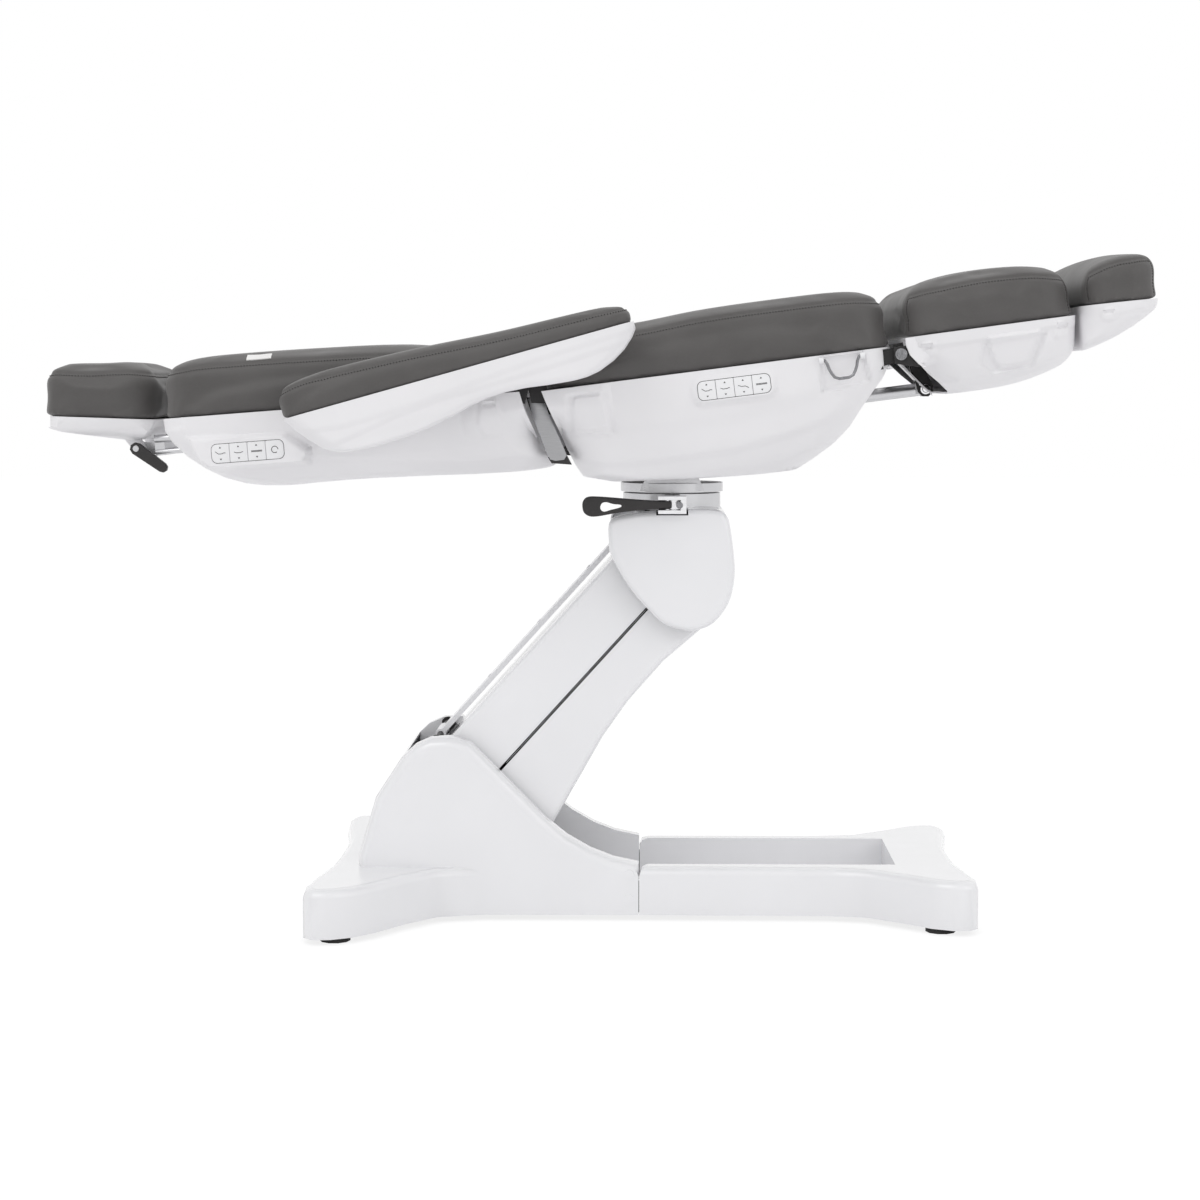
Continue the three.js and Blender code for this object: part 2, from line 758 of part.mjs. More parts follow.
function baseCovers() {
  const rearShares = [
    [1, 1], [0.52, 1.01], [0.38, 1.14], [0.29, 1.5], [0.21, 1.92], [0.15, 2.14],
    [0.09, 2.25], [0.035, 2.27], [0.005, 2.16], [0, 1.95], [0.012, 1.5], [0.04, 0.8], [0.045, 0.3],
  ];
  const frontShares = [
    [0, 1], [0.56, 1.01], [0.68, 1.09], [0.79, 1.39], [0.86, 1.62], [0.92, 1.72],
    [0.97, 1.72], [0.995, 1.62], [1, 1.45], [0.985, 1.1], [0.965, 0.6], [0.962, 0.2],
  ];
  const towerShares = [
    [0, 0], [0, 0.33], [0.062, 0.66], [0.153, 0.88], [0.205, 0.955], [0.259, 0.993],
    [0.33, 1], [0.401, 0.963], [0.507, 0.797], [0.667, 0.54], [0.745, 0.44], [0.828, 0.365],
    [0.91, 0.315], [1, 0.285], [1, 0],
  ];
  const mirrored = (halfOutline) => [...halfOutline, ...halfOutline.map(([x, y]) => [x, -y]).reverse()];
  const rearPlan = mirrored(spread(rearShares, -base.rear, 0, base.seam + base.rear, base.waist));
  const frontStart = base.seam + base.seamGap;
  const frontPlan = mirrored(spread(frontShares, frontStart, 0, base.front - frontStart, base.waist));
  const towerLength = base.seam + tower.rear;
  const towerSide = spread(towerShares, -tower.rear, base.bottom, towerLength, tower.height - base.bottom);
  const everywhere = [-base.front, base.front + overrun];
  const body = (plan, d) => {
    const solid = prism("z", d ? inset(plan, d) : plan, -base.edge, base.top - d, base.edge - d, d ? 1 : 2);
    return cut(solid, box(everywhere, everywhere, [-base.front, d ? 0 : base.bottom]));
  };
  const towerForm = (d) => {
    const outline = d ? inset(towerSide, d) : towerSide;
    return prism("y", outline, d - tower.half, tower.half - d, tower.edge - d, d ? 1 : 2);
  };
  const channelWall = base.channelHalf + wall;
  const finishCover = (outer, inner, from, to) => {
    const liner = common(
      outer,
      box([from, to + wall], [-channelWall, channelWall], [base.channelFloor - wall, tower.open]),
    );
    const channel = box([from, to], [-base.channelHalf, base.channelHalf], [base.channelFloor, tower.open]);
    return cut(join(cut(outer, inner), liner), channel);
  };
  const seamZone = [base.seam - overrun, frontStart + overrun];
  const seamOpening = join(
    both((side) => box(seamZone, band(side, channelWall, base.waist - wall), [0, base.top - base.edge])),
    box(seamZone, [-channelWall - gap, channelWall + gap], [0, base.channelFloor - wall]),
  );
  const uprightSlots = both((side) =>
    box(
      [-base.slotStart - overrun, upright.front + overrun],
      band(side, upright.inner - gap, upright.outer + gap),
      [0, base.channelFloor + overrun],
    ),
  );
  const slotReach = liftDrive.eyeRadius + overrun;
  const lugSlot = box(
    [liftDrive.baseX - slotReach, liftDrive.baseX + slotReach],
    [-liftDrive.lugOuter - overrun, liftDrive.lugOuter + overrun],
    [0, base.channelFloor + overrun],
  );
  const rearOuter = join(body(rearPlan, 0), towerForm(0));
  const rearInner = join(body(rearPlan, wall), towerForm(wall));
  const rear = cut(
    finishCover(rearOuter, rearInner, -base.slotStart, base.seam + overrun),
    uprightSlots,
    lugSlot,
    seamOpening,
  );
  const frontBody = [body(frontPlan, 0), body(frontPlan, wall)];
  const front = cut(finishCover(...frontBody, base.seam, base.front - base.channelFromEnd), seamOpening);
  const capY = [base.waist - cap.depth, base.waist + cap.proud];
  const capAt = (z) => both((side) => rodY(base.seam - cap.fromSeam, z, cap.radius, ...band(side, ...capY)));
  return [join(rear, capAt(cap.lowZ), capAt(cap.highZ)), front];
}

function baseFrame() {
  const { inner, bottom, top, crossTop, crossWidth } = frameTube;
  const outer = base.waist - wall - frameTube.room;
  const along = [-outrigger.rearX, outriggerFront + crossWidth];
  const tube = (side) => box(along, band(side, inner, outer), [bottom, top]);
  const cross = (x, half) => box([x, x + crossWidth], [-half, half], [bottom, crossTop]);
  const bridge = box([overrun - base.slotStart, upright.front], [-outer, outer], [bottom, upright.floor]);
  const linkX = link.riseX;
  const linkZ = lift.pivotHeight + link.riseZ;
  const side = (s) => {
    const y = band(s, upright.inner, upright.outer);
    const postOutline = [
      [overrun - base.slotStart, bottom],
      [upright.front, bottom],
      [upright.eyeRadius, lift.pivotHeight],
      [-upright.eyeRadius, lift.pivotHeight],
    ];
    const neck = strap([0, lift.pivotHeight], upright.eyeRadius, [linkX, linkZ], upright.topEye);
    return join(prism("y", postOutline, ...y), prism("y", neck, ...y));
  };
  const bore = rodY(0, lift.pivotHeight, lift.shaftRadius + fit, -outer, outer, round.fine);
  const linkPin = rodY(linkX, linkZ, link.pinRadius, -upright.outer, upright.outer);
  const lugOutline = [
    ...circle(liftDrive.baseX, liftDrive.baseZ, liftDrive.eyeRadius).slice(0, 6),
    [liftDrive.baseX - liftDrive.eyeRadius, bottom],
    [liftDrive.baseX + liftDrive.eyeRadius, bottom],
  ];
  const lugs = lugPair(lugOutline, 0, liftDrive.lugInner, liftDrive.lugOuter);
  const drivePin = rodY(
    liftDrive.baseX,
    liftDrive.baseZ,
    liftDrive.pinRadius,
    -liftDrive.lugOuter,
    liftDrive.lugOuter,
    16,
  );
  const holeRadius = levelling.studRadius + fit;
  const studHoles = footPlaces.map(([x, y]) => rodZ(x, y, holeRadius, 0, levelling.depth, round.thin));
  return cut(
    join(
      both(tube),
      cross(-outrigger.rearX, outrigger.rearHalf),
      cross(outriggerFront, outrigger.frontHalf),
      bridge,
      cut(both(side), bore),
      linkPin,
      lugs,
      drivePin,
    ),
    ...studHoles,
  );
}

function buildBase() {
  const [rear, front] = baseCovers();
  add(baseGroup, "base_rear_cover", rear, finish.gloss);
  add(baseGroup, "base_front_cover", front, finish.gloss);
  add(baseGroup, "base_frame", baseFrame(), finish.frame);
  footPlaces.forEach(([x, y], i) => {
    const pad = rodZ(x, y, levelling.padRadius, 0, levelling.padHeight);
    const stud = rodZ(x, y, levelling.studRadius, levelling.padHeight / 2, levelling.depth - gap, round.thin);
    add(baseGroup, "levelling_foot_" + (i + 1), join(pad, stud), finish.rubber);
  });
  const shaft = rodY(0, lift.pivotHeight, lift.shaftRadius, -upright.outer, upright.outer, round.fine);
  add(baseGroup, "base_pivot_shaft", shaft, finish.silver);
  add(liftDriveGroup, "lift_actuator", driveTube(liftDrive), finish.frame);
  add(liftDriveGroup, "lift_actuator_rod", driveRod(liftDrive), finish.silver);
}

// The lifting arm, its two covers and the levelling link
function buildLift() {
  const plates = both((side) =>
    prism(
      "y",
      strap([0, 0], lift.hubRadius, [lift.length, 0], lift.hubRadius, 5),
      ...band(side, lift.plateInner, lift.plateOuter),
    ),
  );
  const coverInner = lift.half - wall - gap;
  const crossTube = (x) => rodY(x, 0, lift.crossRadius, -coverInner, coverInner);
  const crossEnd = lift.crossRadius / 2;
  const lugOutline = strap([liftDrive.pinAlong, 0], liftDrive.eyeRadius, [lift.driveCross, 0], crossEnd);
  const stubs = both((side) =>
    rodY(
      liftDrive.pinAlong,
      0,
      liftDrive.pinRadius,
      ...band(side, liftDrive.lugInner, liftDrive.lugOuter + pin.stub),
      14,
    ),
  );
  const arm = cut(
    join(
      plates,
      crossTube(lift.driveCross),
      crossTube(lift.midCross),
      lugPair(lugOutline, 0, liftDrive.lugInner, liftDrive.lugOuter),
      stubs,
    ),
    rodY(0, 0, lift.shaftRadius + fit, -lift.half, lift.half, round.fine),
    rodY(lift.length, 0, lift.headShaftRadius + fit, -lift.half, lift.half, round.fine),
  );
  add(armGroup, "lift_arm", arm, finish.frame);

  const headEnd = lift.length + lift.hubRadius;
  const upperShares = [[0, 0], [0, 0.32], [0.055, 1], [0.985, 1], [1.03, 0.3], [1.03, 0]];
  const lowerShares = [
    [0, 0], [0.03, -0.5], [0.13, -1], [0.45, -0.69],
    [0.58, -0.62], [0.74, -0.61], [0.885, -0.69], [0.945, -0.64], [1, -0.42], [1.03, 0],
  ];
  const tailX = -lift.hubRadius;
  const reach = lift.half;
  const covers = (shares, bound, height) => {
    const outline = spread(shares, tailX, bound, headEnd - tailX, height);
    const inner = inset(rounded(outline, lift.corner, 1), wall);
    return cut(
      prism("y", rounded(outline, lift.corner, 2), -reach, reach, lift.edge),
      prism("y", inner, wall - reach, reach - wall, lift.edge - wall, 1),
    );
  };
  const hole = (x, radius) => rodY(x, 0, radius + wall, -reach - overrun, reach + overrun, round.fine);
  const innerY = [wall - reach, reach - wall];
  const splitZone = (low, high) => box([tailX - overrun, headEnd + reach], innerY, [low, high]);
  const tailHalf = 2 * lift.hubRadius;
  const tailZone = box([tailX - overrun, lift.shaftRadius], innerY, [-tailHalf, tailHalf]);
  const upper = cut(
    covers(upperShares, lift.split, lift.topEdge - lift.split),
    splitZone(lift.split - overrun, lift.split + lift.edge + gap),
    hole(0, lift.shaftRadius),
    hole(lift.length, lift.headShaftRadius),
    tailZone,
  );
  const lowerTop = lift.split - lift.splitGap;
  const slotZ = [-lift.bottomEdge - overrun, -lift.plateHalf];
  const driveSlot = box([tailX, lift.slotLength], [-lift.slotHalf, lift.slotHalf], slotZ);
  const lower = cut(
    covers(lowerShares, lowerTop, lift.bottomEdge + lowerTop),
    splitZone(lowerTop - lift.edge, lowerTop + overrun),
    hole(0, lift.shaftRadius),
    hole(lift.length, lift.headShaftRadius),
    driveSlot,
    tailZone,
  );
  add(armGroup, "lift_arm_upper_cover", upper, finish.gloss);
  add(armGroup, "lift_arm_lower_cover", lower, finish.gloss);

  const topFace = link.thick / 2;
  const boltTop = topFace + slack / 2;
  const boltAt = (x) => rodZ(x, 0, link.boltRadius, 0, boltTop, round.thin);
  const boltRow = [1, 2, 3].map((i) => boltAt((lift.length * i) / 4));
  const eye = (x) => rodY(x, 0, link.eyeRadius, -link.half, link.half);
  const bar = box([0, lift.length], [-link.half, link.half], [-topFace, topFace]);
  const linkBody = cut(
    join(bar, eye(0), eye(lift.length), ...boltRow),
    rodY(0, 0, link.pinRadius + fit, -reach, reach),
    rodY(lift.length, 0, link.pinRadius + fit, -reach, reach),
  );
  add(linkGroup, "levelling_link", linkBody, finish.gloss);
}

// The head: a bracket on the arm, its cover, and the swivel with its clamp and lock
function buildHead() {
  const { plateInner, plateOuter, deckLeft, deckRight, eyeRadius } = head;
  const deckTop = head.top - wall - head.deckRoom;
  const deckBottom = deckTop - head.deckThick;
  const plateOutline = [
    ...circle(0, 0, eyeRadius, round.fine).slice(6),
    ...circle(0, 0, eyeRadius, round.fine).slice(0, 2),
    [deckRight, deckBottom],
    [deckRight, deckTop],
    [link.riseX, deckTop],
    [link.riseX - link.eyeRadius, link.riseZ],
  ];
  const plates = both((side) => prism("y", plateOutline, ...band(side, plateInner, plateOuter)));
  const deck = box([deckLeft, deckRight], [-plateOuter, plateOuter], [deckBottom, deckTop]);
  const spigot = rodZ(0, 0, head.spigotRadius, deckBottom, head.spigotTop, round.fine);
  const linkPin = rodY(link.riseX, link.riseZ, link.pinRadius, -plateOuter, plateOuter);
  const bracket = cut(
    join(plates, deck, spigot, linkPin),
    rodY(0, 0, lift.headShaftRadius + fit, -head.half, head.half, round.fine),
  );
  add(headGroup, "head_bracket", bracket, finish.frame);
  const shaft = rodY(0, 0, lift.headShaftRadius, -plateOuter, plateOuter, round.fine);
  add(headGroup, "head_pivot_shaft", shaft, finish.silver);

  const coverShares = [
    [0, 0.91], [0.005, 0.74], [0.025, 0.62], [0.15, 0.38], [0.316, 0.172], [0.45, 0.05], [0.607, 0],
    [0.694, 0], [0.831, 0.058], [0.945, 0.209], [0.992, 0.377], [1, 0.55], [0.968, 0.828],
    [0.937, 0.942], [0.858, 0.992], [0.622, 1],
  ];
  const outline = spread(coverShares, head.left, head.bottom, head.right - head.left, head.top - head.bottom);
  const innerHalf = head.half - wall;
  const openZone = prism(
    "y",
    [
      [head.left - overrun, head.openTop],
      [head.left - overrun, head.bottom - overrun],
      [head.openRight, head.bottom - overrun],
      [head.openRight, head.openCorner],
      [0, 0],
    ],
    head.edge - innerHalf,
    innerHalf - head.edge,
  );
  const topOpening = box(
    [head.left - overrun, head.topOpening],
    [-plateOuter - slack, plateOuter + slack],
    [head.openTop - slotRoom.roof, head.top + overrun],
  );
  const lockNotch = box(
    [lock.left - wall, lock.right + wall],
    [lock.front - overrun, lock.back + notchReach.lock],
    [lock.bottom - slack, head.top + overrun],
  );
  const cover = cut(
    prism("y", outline, -head.half, head.half, head.edge),
    prism("y", inset(outline, wall), -innerHalf, innerHalf, head.edge - wall, 1),
    openZone,
    topOpening,
    rodZ(0, 0, swivel.ringRadius + slack / 2, deckTop - overrun, head.top + overrun, round.ring),
    lockNotch,
  );
  add(headGroup, "head_cover", cover, finish.gloss);

  const ringBottom = deckTop + gap;
  const ringBody = join(
    rodZ(0, 0, swivel.ringRadius, ringBottom, swivel.ringTop, round.ring),
    box(
      [-swivel.lugHalf, swivel.lugHalf],
      [-swivel.lugReach, -swivel.postRadius],
      [swivel.lugBottom, swivel.ringTop],
    ),
  );
  const ring = cut(
    ringBody,
    rodZ(0, 0, swivel.postRadius + fit, ringBottom - overrun, swivel.ringTop + overrun, round.ring),
    box(
      [-swivel.splitHalf, swivel.splitHalf],
      [-swivel.lugReach - overrun, 0],
      [ringBottom - overrun, swivel.ringTop + overrun],
    ),
  );
  add(headGroup, "swivel_clamp_ring", ring, finish.silver);

  const block = cut(
    box([lock.left, lock.right], [lock.front, lock.back], [lock.bottom, lock.top]),
    box(
      [lock.left - overrun, lock.right - lock.web],
      [lock.front - overrun, lock.back - lock.web],
      [lock.slotBottom, lock.slotTop],
    ),
  );
  const lockPin = rodZ(lock.pivotX, lock.pivotY, lock.pinRadius, lock.bottom, lock.top);
  add(headGroup, "swivel_lock_block", join(block, lockPin), finish.chrome);
  const slotMiddle = (lock.slotBottom + lock.slotTop) / 2;
  const root = lock.rootHalf;
  const handleOutline = [
    [root, slotMiddle - root],
    [root, slotMiddle + root],
    [lock.left - lock.pivotX - root, slotMiddle + root],
    [-lock.handleEnd / 2, slotMiddle + lock.tipRise],
    [-lock.handleEnd, slotMiddle + lock.tipRise],
    [-lock.handleEnd, slotMiddle - lock.tipDrop],
    [-lock.handleEnd / 2, slotMiddle - lock.tipRise],
    [lock.left - lock.pivotX - root, slotMiddle - root],
  ];
  const handle = cut(
    join(
      prism("y", rounded(handleOutline, root, 1), -lock.handleHalf, lock.handleHalf, leverEdge, 1),
      rodZ(0, 0, root, slotMiddle - root, slotMiddle + root),
    ),
    rodZ(0, 0, lock.pinRadius + fit, lock.bottom, lock.top),
  );
  add(lockGroup, "swivel_lock_lever", handle, finish.black);

  const plainEar = (side) =>
    prism(
      "y",
      [
        [-swivel.postRadius, swivel.discBottom + slack],
        [swivel.postRadius, swivel.discBottom + slack],
        ...circle(0, tilt.rise, tilt.earRadius).slice(0, 6),
      ],
      ...band(side, tilt.earInner, tilt.earOuter),
    );
  const pitchAngle = THREE.MathUtils.degToRad(tilt.pitch);
  const tip = tiltDrive.x + tiltDrive.reach;
  const tipX = tip * Math.cos(pitchAngle) - tiltDrive.z * Math.sin(pitchAngle);
  const tipZ = tilt.rise + tip * Math.sin(pitchAngle) + tiltDrive.z * Math.cos(pitchAngle);
  const mast = strap([0, tilt.rise], tilt.earRadius, [tipX, tipZ], pin.eyeRadius);
  const bridgeZ = tipZ + pin.eyeRadius + slack;
  const outerFace = tilt.outerLug + tilt.lugThick;
  const bridge = box(
    [tipX - pin.eyeRadius, tipX + pin.eyeRadius],
    [tilt.earInner, outerFace],
    [bridgeZ, bridgeZ + tilt.lugThick],
  );
  const hangerOutline = [
    ...circle(tipX, tipZ, pin.eyeRadius).slice(5),
    [tipX + pin.eyeRadius, bridgeZ + tilt.lugThick],
    [tipX - pin.eyeRadius, bridgeZ + tilt.lugThick],
  ];
  const tipStubs = join(
    rodY(tipX, tipZ, pin.radius, tilt.outerLug + gap, outerFace + pin.stub),
    rodY(tipX, tipZ, pin.radius, tilt.lugOuter + keyFit, tilt.earOuter - gap),
  );
  const carrier = cut(
    join(
      rodZ(0, 0, swivel.postRadius, deckTop + gap, swivel.discTop - slack, round.ring),
      rodZ(0, 0, swivel.discRadius, swivel.discBottom, swivel.discTop, round.ring),
      both(plainEar),
      prism("y", mast, tilt.earInner, tilt.earOuter),
      prism("y", hangerOutline, tilt.earInner, tilt.earOuter),
      prism("y", hangerOutline, tilt.outerLug, outerFace),
      bridge,
      tipStubs,
    ),
    rodZ(0, 0, head.spigotRadius + spigotFit, 0, head.spigotTop + slack, round.fine),
    rodY(0, tilt.rise, tilt.shaftRadius + fit, -tilt.outerLug, tilt.outerLug, round.fine),
  );
  add(headGroup, "swivel_carrier", carrier, finish.silver);
}

// A row of four keys in a raised pocket on the near side
const padEdges = (pad, halfX, halfZ) => [
  [pad.x - halfX, pad.x + halfX],
  [pad.z - halfZ, pad.z + halfZ],
];

function padPod(pad) {
  const [x, z] = padEdges(pad, 2 * keys.pitch + keys.border, keys.height / 2 + keys.border);
  return box(x, [pad.face, pad.face + keys.podDepth], z);
}

function padPocket(pad) {
  const [x, z] = padEdges(pad, 2 * keys.pitch, keys.height / 2 + keyFit);
  return box(x, [pad.face - overrun, pad.face + keys.pocket], z);
}

function addKeys(group, pad, prefix) {
  for (let i = 0; i < 4; i++) {
    const at = { x: pad.x + (i - 1.5) * keys.pitch, z: pad.z };
    const [x, z] = padEdges(at, keys.width / 2, keys.height / 2);
    add(group, prefix + "_key_" + (i + 1), box(x, [keys.face, keys.face + keys.thick], z), finish.key);
  }
}

// A frame of two rails and cross bars under a deck
function railFrame(from, to, deck, crosses) {
  const top = deck - wall - gap;
  const rails = both((side) => box([from, to], band(side, rail.inner, rail.outer), [top - rail.height, top]));
  const bars = crosses.map(([x0, x1, height = rail.crossHeight, half = rail.outer]) =>
    box([x0, x1], [-half, half], [top - height, top]),
  );
  return join(rails, ...bars);
}

const hangDrive = (drive, y, crossX, deck) => {
  const crossZ = deck - wall - rail.crossHeight + overrun;
  const outline = strap([drive.x, drive.z], pin.eyeRadius, [crossX, crossZ], pin.eyeRadius / 2);
  return join(
    lugPair(outline, y, pin.lugInner, pin.lugOuter),
    rodY(drive.x, drive.z, pin.radius, y - pin.lugOuter, y + pin.lugOuter),
  );
};

// An ear that leaves a cross bar under the cushion and rises through the gap to its hinge
function risingEar(hinge, crossX, low, high) {
  return [
    [crossX, low],
    [crossX, high],
    [hinge.x + hinge.eyeRadius + hinge.ear, high],
    ...circle(hinge.x, hinge.z, hinge.eyeRadius).slice(0, 6),
    [hinge.x - hinge.eyeRadius / 2, low + slack],
    [hinge.x + hinge.eyeRadius, low],
  ];
}

function buildSeat() {
  const top = seat.deck - wall - gap;
  const { from, to, midHalf, driveCross, rearY } = seatFrame;
  const width = rail.crossWidth;
  const tiltLug = strap([0, 0], tilt.lugRadius, [0, top - tilt.lugRadius], tilt.lugRadius);
  const rearEar = risingEar(backHinge, from + width / 2, top - rail.crossHeight, top);
  const frontEar = strap(
    [to - width, top - rail.height / 2],
    pin.eyeRadius,
    [legHinge.x, legHinge.z],
    legHinge.eyeRadius,
  );
  const wide = seat.half + overrun;
  const earOf = (hinge) => [hinge.seatEar, hinge.seatEar + hinge.ear];
  const frame = cut(
    join(
      railFrame(from, to, seat.deck, [
        [from, from + width, rail.crossHeight, rearY],
        [-midHalf, midHalf, rail.crossHeight / 2],
        [driveCross, driveCross + width],
        [to - width, to],
      ]),
      both((side) => prism("y", tiltLug, ...band(side, tilt.lugInner, tilt.lugOuter))),
      both((side) => prism("y", rearEar, ...band(side, ...earOf(backHinge)))),
      both((side) => prism("y", frontEar, ...band(side, ...earOf(legHinge)))),
      hangDrive(legDrive, 0, driveCross + width / 2, seat.deck),
      hangDrive(backDrive, backDrive.y, driveCross + width / 2, seat.deck),
      hangDrive(tiltDrive, tiltDrive.y, from + width / 2, seat.deck),
    ),
    rodY(0, 0, tilt.shaftRadius + fit, -rail.inner, rail.inner, round.fine),
    rodY(legHinge.x, legHinge.z, legHinge.shaftRadius + fit, -wide, wide),
    rodY(backHinge.x, backHinge.z, backHinge.shaftRadius + fit, -wide, wide),
  );
  add(seatGroup, "seat_frame", frame, finish.frame);
  const shaft = ({ x, z, shaftRadius, end }) => rodY(x, z, shaftRadius, -end, end);
  const tiltShaft = rodY(0, 0, tilt.shaftRadius, -tilt.earOuter, tilt.earOuter, round.fine);
  add(seatGroup, "tilt_shaft", tiltShaft, finish.silver);
  add(seatGroup, "leg_hinge_shaft", shaft(legHinge), finish.frame);
  add(seatGroup, "back_hinge_shaft", shaft(backHinge), finish.frame);

  const profileShares = [
    [0, 0], [0.017, 0.19], [0.055, 0.63], [0.093, 0.86], [0.388, 0.949], [0.677, 0.998], [0.72, 0.96],
    [0.847, 0.725], [0.917, 0.452], [0.99, 0.2], [1, 0],
  ];
  const floorShare = 0.7;
  const { outer, inner, opening } = tray(seat, profileShares);
  const turntable = box(
    [-seat.openingLong, seat.openingHalf],
    [-seat.openingHalf, seat.openingHalf],
    [seat.deck - seat.depth - overrun, seat.deck - seat.depth * floorShare],
  );
  const leverHalf = pin.lugOuter + slack;
  const leverSlot = box(
    [seat.from - overrun, seat.from + seat.corner],
    [backDrive.y - leverHalf, backDrive.y + leverHalf],
    [backHinge.z - backDrive.reach / 2 - slack, top - slotRoom.roof],
  );
  const legSlotX = [seat.to - 2 * seat.corner, seat.to + overrun];
  const legSlot = box(legSlotX, [-leverHalf, leverHalf], [0, top - slotRoom.legRoof]);
  const rearNotch = both((side) =>
    box(
      [seat.from - overrun, from + width + slack],
      band(side, backHinge.seatEar - slack, wide),
      [top - rail.crossHeight - slack, seat.deck + overrun],
    ),
  );
  const frontNotch = both((side) =>
    box(
      [to + slack / 2, seat.to + overrun],
      band(side, legHinge.seatEar - slack, legHinge.legEar + legHinge.ear + slack),
      [top - rail.height - slack, seat.deck - wall],
    ),
  );
  const { x: ringX, y: ringY, z: ringZ, lugHalf, lugRadius } = sideRing;
  const ringLug = (side) => {
    const x = ringX + side * (sideRing.halfWidth + wall + lugHalf);
    const along = [x - lugHalf, x + lugHalf];
    return join(
      box(along, [ringY, ringY + sideRing.lugDepth], [ringZ - lugRadius, ringZ + lugRadius]),
      rodX(ringY, ringZ, lugRadius, ...along),
    );
  };
  const ringEnd = 2 * sideRing.halfWidth;
  const ringBore = rodX(ringY, ringZ, sideRing.wire + fit, ringX - ringEnd, ringX + ringEnd);
  const shell = cut(
    join(cut(outer, inner, opening), cut(padPod(seatPad), opening), ringLug(1), ringLug(-1)),
    padPocket(seatPad),
    turntable,
    leverSlot,
    legSlot,
    rearNotch,
    frontNotch,
    ringBore,
  );
  add(seatGroup, "seat_shell", shell, finish.shell);
  addKeys(seatGroup, seatPad, "seat");
  const pad = cushion({
    ...seat,
    to: seat.cushionTo,
    half: seat.cushionHalf,
    height: seat.cushionHeight,
    heightShares: [[0, 0.88], [0.29, 0.905], [0.47, 0.98], [0.72, 1], [0.9, 0.975], [1, 0.9]],
  });
  add(seatGroup, "seat_cushion", pad, finish.vinyl);

  const loopShares = [
    [-1.35, 0], [-1.1, 0], [-0.97, -0.12], [-0.84, -0.5], [-0.5, -0.95], [0, -1],
    [0.5, -0.95], [0.84, -0.5], [0.97, -0.12], [1.1, 0], [1.35, 0],
  ];
  const path = new THREE.CatmullRomCurve3(
    spread(loopShares, 0, 0, sideRing.halfWidth, sideRing.drop).map(([x, z]) => new THREE.Vector3(x, 0, z)),
  );
  const wireOutline = circle(0, 0, sideRing.wire, round.thin);
  const wireShape = new THREE.Shape(wireOutline.map(([u, v]) => new THREE.Vector2(u, v)));
  const loop = new THREE.ExtrudeGeometry(wireShape, { steps: 14, extrudePath: path, bevelEnabled: false });
  add(ringGroup, "side_ring", solidOf(loop), finish.silver);

  const addDrive = (group, name, drive) => {
    add(group, name, driveTube(drive), finish.frame);
    add(group, name + "_rod", driveRod(drive), finish.silver);
  };
  addDrive(tiltDriveGroup, "tilt_actuator", tiltDrive);
  addDrive(legDriveGroup, "leg_actuator", legDrive);
  addDrive(backDriveGroup, "back_actuator", backDrive);
  const boxMiddle = rail.inner - gap - controlBox.width / 2;
  const boxPlan = roundRect(controlBox.from, controlBox.to, controlBox.width / 2, controlBox.corner, 0, 2);
  const boxBody = prism("z", boxPlan.map(([x, y]) => [x, y + boxMiddle]), top - controlBox.height, top);
  add(seatGroup, "control_box", boxBody, finish.black);
}

